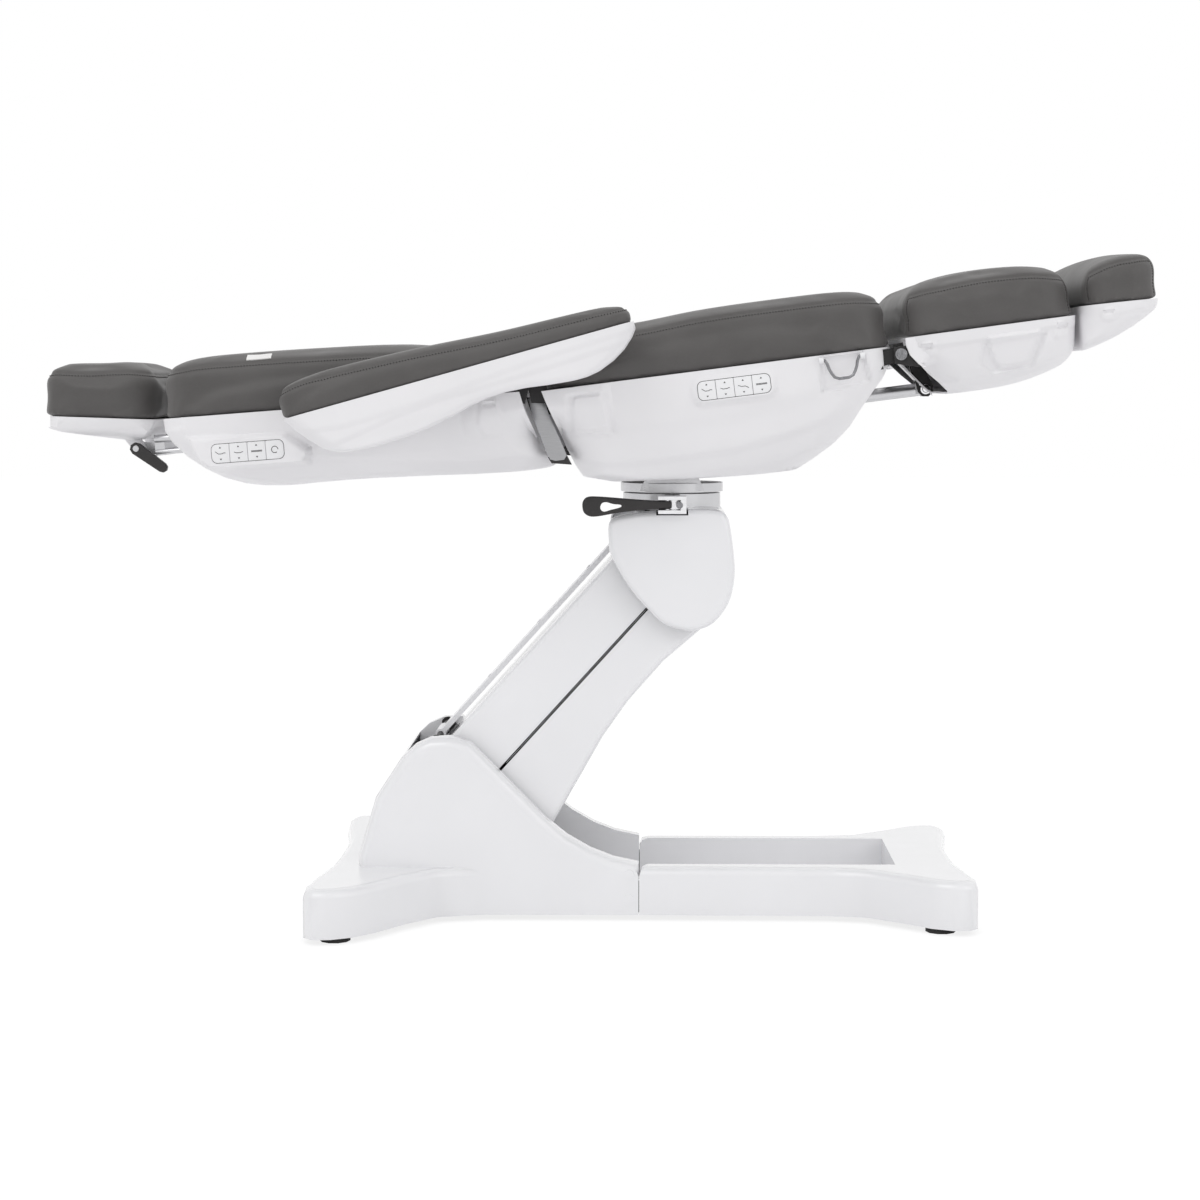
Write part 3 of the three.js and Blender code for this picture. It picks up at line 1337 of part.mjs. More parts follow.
function buildLeg() {
  const top = leg.deck - wall - gap;
  const { frameFrom, frameTo } = leg;
  const width = rail.crossWidth;
  const earRoot = [frameFrom + width / 2, top - rail.height / 2];
  const ear = strap([0, 0], legHinge.eyeRadius, earRoot, legHinge.eyeRadius);
  const lugOutline = strap(
    [frameFrom + width / 2, top - rail.crossHeight / 2],
    pin.eyeRadius / 2,
    [leg.pinX, leg.pinZ],
    pin.eyeRadius,
  );
  const stubY = [pin.lugInner, pin.lugOuter + pin.stubProud];
  const stubs = both((side) => rodY(leg.pinX, leg.pinZ, pin.radius, ...band(side, ...stubY)));
  const guideZ = footRest.z + footRest.rodZ;
  const guideRod = (radius, low, high) =>
    both((side) => rodX(side * footRest.rodY, guideZ, radius, low, high));
  const frame = cut(
    join(
      railFrame(frameFrom, frameTo, leg.deck, [
        [frameFrom, frameFrom + width],
        [footRest.guideFrom, footRest.guideFrom + width],
        [frameTo - width, frameTo],
      ]),
      both((side) => prism("y", ear, ...band(side, legHinge.legEar, legHinge.legEar + legHinge.ear))),
      lugPair(lugOutline, 0, pin.lugInner, pin.lugOuter),
      stubs,
      guideRod(footRest.guideRadius, footRest.guideFrom, frameTo),
    ),
    guideRod(footRest.rodRadius + fit, frameFrom + width, frameTo + overrun),
    rodY(0, 0, legHinge.shaftRadius + fit, -leg.half, leg.half),
  );
  add(legGroup, "leg_frame", frame, finish.frame);

  const profileShares = [
    [0, 0], [0.003, 0.19], [0.11, 0.59], [0.21, 0.95], [0.25, 1], [0.5, 1], [0.7, 0.93], [0.847, 0.816],
    [0.93, 0.72], [0.982, 0.554], [0.994, 0.2], [1, 0],
  ];
  const { outer, inner, opening } = tray(leg, profileShares);
  const leverHalf = pin.lugOuter + slack + gap;
  const driveSlot = box(
    [-overrun, leg.pinX + 2 * pin.eyeRadius],
    [-leverHalf, leverHalf],
    [leg.deck - leg.depth - overrun, top - wall],
  );
  const earNotch = both((side) =>
    box(
      [-overrun, frameFrom - gap],
      band(side, legHinge.seatEar - slack, legHinge.legEar + legHinge.ear + slack),
      [-legHinge.eyeRadius - legHinge.ear, top],
    ),
  );
  const rodHoles = guideRod(footRest.rodRadius + slack / 2, frameTo, leg.to + overrun);
  add(legGroup, "leg_shell", cut(outer, inner, opening, driveSlot, earNotch, rodHoles), finish.shell);
  const pad = cushion({
    ...leg,
    half: leg.cushionHalf,
    height: leg.cushionHeight,
    heightShares: [[0, 0.87], [0.22, 0.945], [0.5, 1], [0.72, 0.97], [0.86, 0.9], [1, 0.83]],
  });
  add(legGroup, "leg_cushion", pad, finish.vinyl);
}

function buildFoot() {
  const { rodY: y, rodZ: z, rodRadius, rodInner, rodOuter, barFrom, barHalf, barEnd, postTop } = footRest;
  const rods = both((side) => rodX(side * y, z, rodRadius, rodInner, rodOuter));
  const bar = box([barFrom, barFrom + 2 * barHalf], [-barEnd, barEnd], [z - barHalf, z + barHalf]);
  const postZ = [z - barHalf, postTop];
  const posts = both((side) => box([barFrom, rodOuter], band(side, barEnd - 2 * barHalf, barEnd), postZ));
  add(footGroup, "foot_slide", join(rods, bar, posts), finish.silver);

  const profileShares = [[0, 0], [0.005, 1], [0.58, 0.63], [0.94, 0.27], [0.99, 0.15], [1, 0]];
  const { outer, inner, opening } = tray({ ...footRest, flange: footRest.corner - slack }, profileShares);
  const rodHoles = both((side) => rodX(side * y, z, rodRadius + slack, footRest.from - overrun, barFrom));
  add(footPadGroup, "foot_shell", cut(outer, inner, opening, rodHoles), finish.shell);
  const pad = cushion({
    ...footRest,
    to: footRest.cushionTo,
    half: leg.cushionHalf,
    height: footRest.cushionHeight,
    heightShares: [[0, 0.72], [0.2, 0.86], [0.4, 0.96], [0.75, 1], [1, 0.93]],
  });
  add(footPadGroup, "foot_cushion", pad, finish.vinyl);
}

function buildBack() {
  const top = back.deck - wall - gap;
  const { frameFrom, frameTo, leverX, leverZ } = back;
  const width = rail.crossWidth;
  const leverOutline = strap(
    [frameTo - width / 2, top - back.leverRadius],
    back.leverRadius,
    [leverX, leverZ],
    back.leverRadius,
  );
  const { y } = backDrive;
  const stubs = join(
    rodY(leverX, leverZ, pin.radius, y + pin.lugInner, y + pin.lugOuter + pin.stubProud),
    rodY(leverX, leverZ, pin.radius, y - pin.lugOuter - wall, y - pin.lugInner),
  );
  const earEnd = backHinge.backEar + backHinge.ear;
  const eye = circle(0, 0, backHinge.eyeRadius);
  const earOutline = [
    [frameTo - width / 2, top - rail.crossHeight],
    [-backHinge.eyeRadius, top - rail.crossHeight],
    ...eye.slice(8),
    ...eye.slice(0, 6),
    [-2 * backHinge.eyeRadius, top],
    [frameTo - width / 2, top],
  ];
  const guideZ = headrest.pivotZ + headrest.rodZ;
  const guideRod = (radius, low, high) =>
    both((side) => rodX(side * headrest.rodY, guideZ, radius, low, high));
  const { pivotX, pivotZ, hangerHalf, hangerDrop, axleRadius, axleEnd } = armrest;
  const hangers = both((side) =>
    box(
      [pivotX - hangerHalf, pivotX + hangerHalf],
      band(side, rail.outer - hangerHalf, rail.outer),
      [pivotZ - hangerDrop, top - rail.height / 2],
    ),
  );
  const axleY = [rail.outer - hangerHalf / 2, axleEnd];
  const axles = both((side) => rodY(pivotX, pivotZ, axleRadius, ...band(side, ...axleY)));
  const frame = cut(
    join(
      railFrame(frameFrom, frameTo, back.deck, [
        [frameFrom, frameFrom + width, rail.height],
        [headrest.guideTo - width, headrest.guideTo, rail.height],
        [pivotX - width / 2, pivotX + width / 2],
        [frameTo - width, frameTo, rail.crossHeight, earEnd],
      ]),
      guideRod(headrest.guideRadius, headrest.guideFrom, headrest.guideTo),
      hangers,
      axles,
      lugPair(leverOutline, y, pin.lugInner, pin.lugOuter),
      stubs,
      both((side) => prism("y", earOutline, ...band(side, backHinge.backEar, earEnd))),
    ),
    guideRod(headrest.rodRadius + fit, headrest.guideFrom - overrun, headrest.guideTo + overrun),
    rodY(0, 0, backHinge.shaftRadius + fit, -back.half - overrun, back.half + overrun),
  );
  add(backGroup, "back_frame", frame, finish.frame);

  const profileShares = [
    [0, 0], [0, 0.2], [0.07, 0.58], [0.171, 0.846], [0.283, 0.945], [0.44, 0.92], [0.638, 0.93],
    [0.92, 1], [1.05, 0.985], [1.09, 0.91], [1.038, 0.6], [1.012, 0.24], [1, 0],
  ];
  const { outer, inner, opening } = tray(back, profileShares);
  const leverHalf = pin.lugOuter + slack + gap;
  const leverSlot = box(
    [back.to - slotRoom.legRoof, -back.to],
    [y - leverHalf, y + leverHalf],
    [leverZ - slotRoom.below, top - gap],
  );
  const earNotch = both((side) =>
    box(
      [frameTo - width - slack, back.to + notchReach.ear],
      band(side, rail.outer - slack, back.half + overrun),
      [top - rail.crossHeight - slack, back.deck + overrun],
    ),
  );
  const holeX = [back.from - overrun, back.from + notchReach.rods];
  const endHole = (z, radius) => both((side) => rodX(side * headrest.rodY, z, radius + slack / 2, ...holeX));
  const axleHoleY = [rail.outer, back.half + overrun];
  const axleHoles = both((side) => rodY(pivotX, pivotZ, axleRadius + slack / 2, ...band(side, ...axleHoleY)));
  const shell = cut(
    join(cut(outer, inner, opening), padPod(backPad)),
    padPocket(backPad),
    leverSlot,
    earNotch,
    endHole(guideZ, headrest.rodRadius),
    endHole(headrest.pivotZ + headrest.lowRodZ, headrest.lowRodRadius),
    axleHoles,
  );
  add(backGroup, "back_shell", shell, finish.shell);
  addKeys(backGroup, backPad, "back");
  const pad = cushion({
    ...back,
    half: back.cushionHalf,
    height: back.cushionHeight,
    heightShares: [[0, 0.93], [0.11, 0.985], [0.18, 1], [0.41, 0.99], [0.69, 0.925], [0.83, 0.81], [1, 0.7]],
  });
  add(backGroup, "back_cushion", pad, finish.vinyl);
}

function buildArmrests() {
  const profileShares = [
    [0, 0], [0.04, 0.4], [0.1, 0.86], [0.187, 1], [0.3, 0.985], [0.42, 0.86],
    [0.53, 0.66], [0.63, 0.63], [0.76, 0.76], [0.85, 0.8], [0.94, 0.56], [1, 0.18], [1, 0],
  ];
  const { pivotX, pivotZ, middle, half, bossRadius, bossEnd, axleRadius, axleEnd } = armrest;
  [["near", -1], ["far", 1]].forEach(([name, side]) => {
    const group = section(backGroup, pivotX, side * middle, pivotZ, armrest.pitch - back.pitch);
    group.name = "pivot_arm_" + name;
    const { outer, inner, opening } = tray(armrest, profileShares);
    const boss = rodY(0, 0, bossRadius, ...band(-side, middle - bossEnd, half), round.fine);
    const bore = rodY(0, 0, axleRadius + fit, ...band(-side, middle - axleEnd - gap, half + overrun));
    add(group, "armrest_" + name + "_shell", cut(join(cut(outer, inner, opening), boss), bore), finish.shell);
    const pad = cushion({
      ...armrest,
      half: armrest.cushionHalf,
      height: armrest.cushionHeight,
      heightShares: [[0, 0.9], [0.11, 1], [0.37, 0.9], [0.64, 0.7], [0.92, 0.6], [1, 0.54]],
    });
    add(group, "armrest_" + name + "_cushion", pad, finish.vinyl);
  });
}

function buildHeadrest() {
  const { rodY: y, rodZ: z, rodRadius, rodInner, lowRodZ, lowRodRadius, lowRodInner } = headrest;
  const { barFrom, barTo, barHalf, barTop, barBottom, lugInner, lugOuter, lugRadius, pinRadius } = headrest;
  const rods = both((side) =>
    join(
      rodX(side * y, z, rodRadius, barFrom, rodInner),
      rodX(side * y, lowRodZ, lowRodRadius, barFrom, lowRodInner),
    ),
  );
  const bar = box([barFrom, barTo], [-barHalf, barHalf], [barBottom, barTop]);
  const lugOutline = strap([0, 0], lugRadius, [barFrom + wall, (barTop + barBottom) / 2], lugRadius);
  const lugs = both((side) => prism("y", lugOutline, ...band(side, lugInner, lugOuter)));
  const pivotPin = rodY(0, 0, pinRadius, -headrest.leverOuter - gap, headrest.shellLug + lugRadius);
  add(slideGroup, "headrest_rods", join(rods, bar, lugs, pivotPin), finish.silver);

  const leverOutline = strap([0, 0], lugRadius, [headrest.leverX, headrest.leverZ], headrest.leverTip);
  const lever = cut(
    prism("y", leverOutline, -headrest.leverOuter, -headrest.leverInner, leverEdge, 1),
    rodY(0, 0, pinRadius + fit, -headrest.half, headrest.half),
  );
  add(slideGroup, "headrest_lever", lever, finish.black);

  const profileShares = [
    [0, 0], [0, 0.4], [0.04, 0.56], [0.14, 0.7], [0.5, 0.87], [0.77, 1], [0.86, 0.82], [0.93, 0.5], [1, 0],
  ];
  const { outer, inner, opening } = tray(headrest, profileShares);
  const lugFoot = [-2 * lugRadius, headrest.deck - headrest.depth + lugRadius];
  const shellLug = strap([0, 0], lugRadius, lugFoot, lugRadius);
  const { shellLug: lugFrom } = headrest;
  const shell = cut(
    join(
      cut(outer, inner, opening),
      both((side) => prism("y", shellLug, ...band(side, lugFrom, lugFrom + lugRadius))),
    ),
    rodY(0, 0, pinRadius + fit, -headrest.half, headrest.half),
  );
  add(headrestGroup, "headrest_shell", shell, finish.shell);
  const pad = cushion({
    ...headrest,
    from: headrest.cushionFrom,
    half: headrest.cushionHalf,
    height: headrest.cushionHeight,
    heightShares: [[0, 0.9], [0.12, 0.98], [0.5, 1], [0.8, 0.99], [1, 0.95]],
  });
  add(headrestGroup, "headrest_cushion", pad, finish.vinyl);
}

buildBase();
buildLift();
buildHead();
buildSeat();
buildLeg();
buildFoot();
buildBack();
buildArmrests();
buildHeadrest();
table.updateMatrixWorld(true);
const bounds = new THREE.Box3().setFromObject(table);
table.position.x = -(bounds.min.x + bounds.max.x) / 2;
export default table;
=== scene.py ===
"""Upholstery, moulded shells, fittings, materials and light for the electric spa treatment table."""

import json
import math

import bmesh
import bpy
import numpy as np
from mathutils import Matrix, Vector
from mathutils.bvhtree import BVHTree

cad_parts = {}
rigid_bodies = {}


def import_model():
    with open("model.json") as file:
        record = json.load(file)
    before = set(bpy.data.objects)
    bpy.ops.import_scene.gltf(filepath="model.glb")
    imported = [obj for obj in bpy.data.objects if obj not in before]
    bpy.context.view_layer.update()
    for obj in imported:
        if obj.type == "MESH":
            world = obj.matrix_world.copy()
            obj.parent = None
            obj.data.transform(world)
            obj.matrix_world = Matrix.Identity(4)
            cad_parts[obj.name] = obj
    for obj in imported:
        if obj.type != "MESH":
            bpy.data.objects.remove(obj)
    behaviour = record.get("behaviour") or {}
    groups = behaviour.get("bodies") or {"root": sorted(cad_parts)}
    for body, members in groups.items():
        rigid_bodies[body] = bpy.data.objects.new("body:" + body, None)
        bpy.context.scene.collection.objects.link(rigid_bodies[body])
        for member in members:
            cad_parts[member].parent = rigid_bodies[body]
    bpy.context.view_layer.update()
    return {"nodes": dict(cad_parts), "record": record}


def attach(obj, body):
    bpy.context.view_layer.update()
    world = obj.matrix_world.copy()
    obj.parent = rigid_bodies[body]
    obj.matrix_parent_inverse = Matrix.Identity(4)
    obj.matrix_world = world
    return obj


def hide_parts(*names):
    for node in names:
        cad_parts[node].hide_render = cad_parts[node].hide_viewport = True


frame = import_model()
NODES = frame["nodes"]
MM = 0.001


# ---------------------------------------------------------------- frames
class Place:
    """A section's own frame: x along it, z up from it, in millimetres."""

    def __init__(self, x, y, z, pitch):
        turn = Matrix.Rotation(-math.radians(pitch), 4, "Y")
        self.array = np.array(Matrix.Translation((x, y, z)) @ turn)

    def points(self, local):
        p = np.asarray(local, float) * MM
        return p @ self.array[:3, :3].T + self.array[:3, 3]

    def local(self, world):
        p = np.asarray(world, float) - self.array[:3, 3]
        return (p @ self.array[:3, :3]) / MM


SEAT = Place(0.13029, 0, 0.75988, 7.25)
BACK = Place(-0.08971, 0, 0.8949, 4.4)
LEG = Place(0.47883, 0, 0.90684, 7.6)
ARM_NEAR = Place(-0.36771, -0.3705, 0.77993, 15.6)
ARM_FAR = Place(-0.36771, 0.3705, 0.77993, 15.6)
HEADREST = Place(-0.7334, 0, 0.75791, -1.9)
HEAD = Place(0.13029, 0, 0.55688, 0)
LOCK = Place(0.12229, -0.157, 0.55688, 0)
LIFT = Place(-0.197848, 0, 0.195, 47.8)
FOOT_AT = LEG.points([[286.1, 0, 36.4]])[0]
FOOT = Place(FOOT_AT[0], 0, FOOT_AT[2], 5.9)

# The sizes of each tray and its cushion in mm: where they start and end along the section, half widths,
# the tray's profile from its start and its depth, the cushion's height shares and its rolled edges
BED = dict(half=300, bottom=220, cushion_half=305, corner=60, draw=2.5)
SEAT_SIZE = dict(
    BED, start=-190, end=352, cushion_end=356, deck=115.8, depth=176, height=93,
    profile=[(0, 0), (0.017, 0.19), (0.055, 0.63), (0.093, 0.86), (0.388, 0.949), (0.677, 0.998),
             (0.72, 0.96), (0.847, 0.725), (0.917, 0.452), (0.99, 0.2), (1, 0)],
    heights=[(0, 0.88), (0.29, 0.905), (0.47, 0.98), (0.72, 1), (0.9, 0.975), (1, 0.9)],
    rolls=((42, 40), (24, 30), (26, 30)), crown=5,
)
BACK_SIZE = dict(
    BED, start=-579, end=-20, cushion_end=-20, deck=-43.5, depth=127, height=90,
    profile=[(0, 0), (0, 0.2), (0.07, 0.58), (0.171, 0.846), (0.283, 0.945), (0.44, 0.92), (0.638, 0.93),
             (0.92, 1), (1.05, 0.985), (1.09, 0.91), (1.038, 0.6), (1.012, 0.24), (1, 0)],
    heights=[(0, 0.93), (0.11, 0.985), (0.18, 1), (0.41, 0.99), (0.69, 0.925), (0.83, 0.81), (1, 0.7)],
    rolls=((26, 32), (40, 36), (26, 30)), crown=5,
)
LEG_SIZE = dict(
    BED, start=4.4, end=277, cushion_end=277, deck=24.2, depth=98, height=86,
    profile=[(0, 0), (0.003, 0.19), (0.11, 0.59), (0.21, 0.95), (0.25, 1), (0.5, 1), (0.7, 0.93),
             (0.847, 0.816), (0.93, 0.72), (0.982, 0.554), (0.994, 0.2), (1, 0)],
    heights=[(0, 0.87), (0.22, 0.945), (0.5, 1), (0.72, 0.97), (0.86, 0.9), (1, 0.83)],
    rolls=((24, 32), (20, 34), (26, 30)), crown=7,
)
FOOT_SIZE = dict(
    BED | dict(bottom=240, corner=50), start=-3, end=117.5, cushion_end=120, deck=0, depth=70.4, height=74,
    profile=[(0, 0), (0, 0.97), (0.02, 1), (0.58, 0.63), (0.94, 0.27), (0.99, 0.15), (1, 0)],
    heights=[(0, 0.72), (0.2, 0.86), (0.4, 0.96), (0.75, 1), (1, 0.93)],
    rolls=((22, 34), (16, 22), (26, 30)), crown=6,
)
ARM_SIZE = dict(
    start=-79, end=468, cushion_end=468, deck=51, depth=78, half=52.5, bottom=30,
    cushion_half=54, height=52, corner=30,
    profile=[(0, 0), (0.04, 0.4), (0.1, 0.86), (0.187, 1), (0.3, 0.985), (0.42, 0.86), (0.53, 0.66),
             (0.63, 0.63), (0.76, 0.76), (0.85, 0.8), (0.94, 0.56), (1, 0.18), (1, 0)],
    heights=[(0, 0.9), (0.11, 1), (0.37, 0.9), (0.64, 0.7), (0.92, 0.6), (1, 0.54)],
    rolls=((18, 24), (14, 16), (18, 18)), crown=3, draw=1,
)
HEADREST_SIZE = dict(
    start=-141, end=37, cushion_start=-150, cushion_end=37, deck=48, depth=35.4, half=146, bottom=112,
    cushion_half=150, height=82, corner=40,
    profile=[(0, 0), (0, 0.4), (0.04, 0.56), (0.14, 0.7), (0.5, 0.87), (0.77, 1), (0.86, 0.82),
             (0.93, 0.5), (1, 0)],
    heights=[(0, 0.9), (0.12, 0.98), (0.5, 1), (0.8, 0.99), (1, 0.95)],
    rolls=((14, 20), (20, 26), (22, 28)), crown=4, draw=2,
)
# A tray wall's way inwards and down, as shares
SECTION = [(0, 0), (0.12, 0.35), (0.45, 0.8), (1, 1)]
# Each line in a cover: its level on the rolled edge (see Cushion.ring), the width and depth of its
# groove in metres, and if it has stitches; then a stitch with its gap in mm, and its thread in metres
SEAMS = ((1.42, 0.0040, 0.0014, True), (1.54, 0.0032, 0.0022, False))
STITCH_STEP = 4.6
THREAD_RADIUS = 0.0008
# The cloth's pressure and how many steps it takes to settle
PRESSURE = 4
SETTLE = 20


# ---------------------------------------------------------------- materials
def srgb(r, g, b):
    def one(c):
        c /= 255
        return c / 12.92 if c <= 0.04045 else ((c + 0.055) / 1.055) ** 2.4

    return (one(r), one(g), one(b), 1)


class Nodes:
    """A material's node tree with short ways to add and join its nodes."""

    def __init__(self, name):
        self.material = bpy.data.materials.new(name)
        self.material.use_nodes = True
        self.tree = self.material.node_tree
        self.tree.nodes.clear()
        self.out = self.tree.nodes.new("ShaderNodeOutputMaterial")
        self.shader = self.tree.nodes.new("ShaderNodeBsdfPrincipled")
        self.link(self.shader.outputs[0], self.out.inputs[0])
        self.place = self.add("ShaderNodeTexCoord").outputs["Object"]

    def add(self, kind, **settings):
        node = self.tree.nodes.new(kind)
        for key, value in settings.items():
            setattr(node, key, value)
        return node

    def link(self, a, b):
        self.tree.links.new(a, b)

    def put(self, **values):
        for key, value in values.items():
            self.shader.inputs[key.replace("_", " ")].default_value = value

    def noise(self, scale, detail=3.0, roughness=0.5, stretch=None):
        node = self.add("ShaderNodeTexNoise")
        node.inputs["Scale"].default_value = scale
        node.inputs["Detail"].default_value = detail
        node.inputs["Roughness"].default_value = roughness
        self.link(self.moved(stretch), node.inputs["Vector"])
        return node.outputs["Fac"]

    def cells(self, scale):
        node = self.add("ShaderNodeTexVoronoi", feature="SMOOTH_F1")
        node.inputs["Scale"].default_value = scale
        self.link(self.place, node.inputs["Vector"])
        return node.outputs["Distance"]

    def moved(self, stretch):
        if stretch is None:
            return self.place
        mapping = self.add("ShaderNodeMapping")
        mapping.inputs["Scale"].default_value = stretch
        self.link(self.place, mapping.inputs["Vector"])
        return mapping.outputs[0]

    def spread(self, source, low, high, start=0.3, stop=0.7):
        node = self.add("ShaderNodeMapRange", clamp=True)
        for key, value in (("From Min", start), ("From Max", stop), ("To Min", low), ("To Max", high)):
            node.inputs[key].default_value = value
        self.link(source, node.inputs["Value"])
        return node.outputs[0]

    def colours(self, source, *stops):
        ramp = self.add("ShaderNodeValToRGB")
        ramp.color_ramp.elements[0].position, ramp.color_ramp.elements[1].position = stops[0][0], stops[-1][0]
        ramp.color_ramp.elements[0].color, ramp.color_ramp.elements[1].color = stops[0][1], stops[-1][1]
        for place, colour in stops[1:-1]:
            ramp.color_ramp.elements.new(place).color = colour
        self.link(source, ramp.inputs[0])
        return ramp.outputs[0]

    def total(self, a, b, share):
        node = self.add("ShaderNodeMath", operation="MULTIPLY_ADD")
        node.inputs[1].default_value = share
        self.link(b, node.inputs[0])
        self.link(a, node.inputs[2])
        return node.outputs[0]

    def bump(self, height, distance, strength=1.0):
        node = self.add("ShaderNodeBump")
        node.inputs["Strength"].default_value = strength
        node.inputs["Distance"].default_value = distance
        self.link(height, node.inputs["Height"])
        self.link(node.outputs[0], self.shader.inputs["Normal"])

    def feed(self, socket, source):
        self.link(source, self.shader.inputs[socket])


def vinyl_material():
    m = Nodes("vinyl")
    grain = m.cells(900)
    pores = m.noise(2600, 2)
    folds = m.noise(14, 3)
    mottle = m.total(folds, grain, 0.35)
    m.feed("Base Color", m.colours(mottle, (0.3, srgb(78, 76, 75)), (0.85, srgb(90, 88, 87))))
    m.feed("Roughness", m.spread(folds, 0.46, 0.56))
    m.bump(m.total(m.total(grain, pores, 0.25), folds, 0.6), 0.00035, 0.28)
    m.put(Specular_IOR_Level=0.42, Sheen_Weight=0.08, Sheen_Roughness=0.5)
    return m.material


def thread_material():
    m = Nodes("thread")
    twist = m.noise(3200, 1, stretch=(1, 2.2, 1))
    m.feed("Base Color", m.colours(twist, (0.3, srgb(40, 38, 37)), (0.7, srgb(66, 64, 62))))
    m.put(Roughness=0.7, Sheen_Weight=0.3)
    m.bump(twist, 0.0002, 0.5)
    return m.material


def plastic_material(name, low, high, rough, bump, coat=0.0, speck=420):
    m = Nodes(name)
    haze = m.noise(5, 3)
    grain = m.noise(speck, 2)
    m.feed("Base Color", m.colours(haze, (0.3, low), (0.7, high)))
    m.feed("Roughness", m.spread(m.total(haze, grain, 0.3), rough[0], rough[1], 0.3, 0.95))
    m.bump(m.total(grain, haze, 0.5), bump, 0.25)
    m.put(Specular_IOR_Level=0.5, Coat_Weight=coat, Coat_Roughness=0.06)
    return m.material


def metal_material(name, low, high, rough, stretch, scale=160, bump=0.00006):
    m = Nodes(name)
    lines = m.noise(scale, 4, 0.6, stretch)
    smudge = m.noise(18, 3)
    m.feed("Base Color", m.colours(lines, (0.3, low), (0.7, high)))
    m.feed("Roughness", m.spread(m.total(lines, smudge, 0.5), rough[0], rough[1], 0.4, 1.1))
    m.bump(lines, bump, 0.35)
    m.put(Metallic=1.0)
    return m.material


def coated_material(name, low, high, rough, scale, bump, metallic=0.0):
    m = Nodes(name)
    grain = m.cells(scale)
    wear = m.noise(30, 4)
    m.feed("Base Color", m.colours(m.total(wear, grain, 0.3), (0.35, low), (0.85, high)))
    m.feed("Roughness", m.spread(wear, rough[0], rough[1]))
    m.bump(grain, bump, 0.4)
    m.put(Metallic=metallic)
    return m.material


VINYL = vinyl_material()
THREAD = thread_material()
SHELL = plastic_material("shell", srgb(240, 239, 241), srgb(245, 244, 246), (0.34, 0.44), 0.00008)
GLOSS = plastic_material("gloss", srgb(244, 244, 246), srgb(248, 248, 250), (0.16, 0.24), 0.00005, 0.6, 260)
KEY = plastic_material("key", srgb(243, 243, 245), srgb(247, 247, 248), (0.36, 0.46), 0.00006, 0.0, 900)
INK = plastic_material("ink", srgb(52, 50, 52), srgb(60, 58, 60), (0.5, 0.6), 0.00002)
BLACK = coated_material("black", srgb(34, 32, 32), srgb(46, 43, 43), (0.38, 0.5), 700, 0.0002)
STEEL = coated_material("frame", srgb(28, 27, 28), srgb(40, 38, 39), (0.42, 0.56), 520, 0.0002, 0.2)
SILVER = metal_material("silver", srgb(196, 196, 198), srgb(214, 214, 216), (0.22, 0.4), (1, 26, 26))
RING = metal_material("ring", srgb(122, 122, 125), srgb(150, 150, 153), (0.1, 0.2), (3, 1, 1), 90, 0.00002)
CHROME = metal_material("chrome", srgb(226, 226, 228), srgb(238, 238, 240), (0.05, 0.16), (1, 3, 3), 90, 0.00002)
GREY_SHEET = metal_material(
    "grey_sheet", srgb(160, 160, 162), srgb(176, 176, 178), (0.34, 0.42), (1, 1, 40), 60,
)
RUBBER = coated_material("rubber", srgb(38, 37, 37), srgb(52, 51, 51), (0.75, 0.9), 260, 0.0004)
WHITE_METAL = plastic_material(
    "white_metal", srgb(240, 240, 242), srgb(246, 246, 248), (0.24, 0.36), 0.00008, 0.2, 600,
)
TAB = coated_material("tab", srgb(232, 231, 230), srgb(240, 239, 238), (0.7, 0.85), 1800, 0.0001)
BY_SLOT = dict(
    vinyl=VINYL, shell=SHELL, gloss=GLOSS, key=KEY, black=BLACK, frame=STEEL, silver=SILVER,
    chrome=CHROME, white_metal=WHITE_METAL, rubber=RUBBER,
)
for row in frame["record"]["subparts"]:
    node = NODES[row["node"]]
    node.data.materials.clear()
    node.data.materials.append(RING if row["node"] == "side_ring" else BY_SLOT[row["material_slot"]])


# ---------------------------------------------------------------- CAD nodes
def soften(obj, width, angle=41):
    """Shading and small edge radii for a node, as modifiers only."""
    obj.data.shade_smooth()
    weld = obj.modifiers.new("weld", "WELD")
    weld.merge_threshold = 0.00002
    flat = obj.modifiers.new("flat", "DECIMATE")
    flat.decimate_type = "DISSOLVE"
    flat.angle_limit = math.radians(0.4)
    if width:
        bevel = obj.modifiers.new("edges", "BEVEL")
        bevel.limit_method = "ANGLE"
        bevel.angle_limit = math.radians(angle)
        bevel.width = width
        bevel.segments = 2
        bevel.use_clamp_overlap = True
    obj.modifiers.new("split", "EDGE_SPLIT").split_angle = math.radians(angle)
    obj.modifiers.new("normals", "WEIGHTED_NORMAL").weight = 80


# ---------------------------------------------------------------- making pieces
def new_piece(name, points, faces, material, body, replaces, slot):
    """An object from points in metres, riding on a body of the frame."""
    mesh = bpy.data.meshes.new(name)
    mesh.from_pydata([tuple(map(float, p)) for p in points], [], [tuple(map(int, f)) for f in faces])
    mesh.validate()
    mesh.update()
    obj = bpy.data.objects.new(name, mesh)
    bpy.context.scene.collection.objects.link(obj)
    mesh.materials.append(material)
    mesh.shade_smooth()
    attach(obj, body)
    if replaces:
        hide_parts(*replaces)
    return obj


def face_outwards(mesh, floor_down=False):
    """Turns the faces of a mesh outwards, those of an open shell so that its lowest one looks down."""
    work = bmesh.new()
    work.from_mesh(mesh)
    bmesh.ops.recalc_face_normals(work, faces=work.faces)
    if floor_down and min(work.faces, key=lambda f: f.calc_center_median().z).normal.z > 0:
        bmesh.ops.reverse_faces(work, faces=work.faces)
    work.to_mesh(mesh)
    work.free()


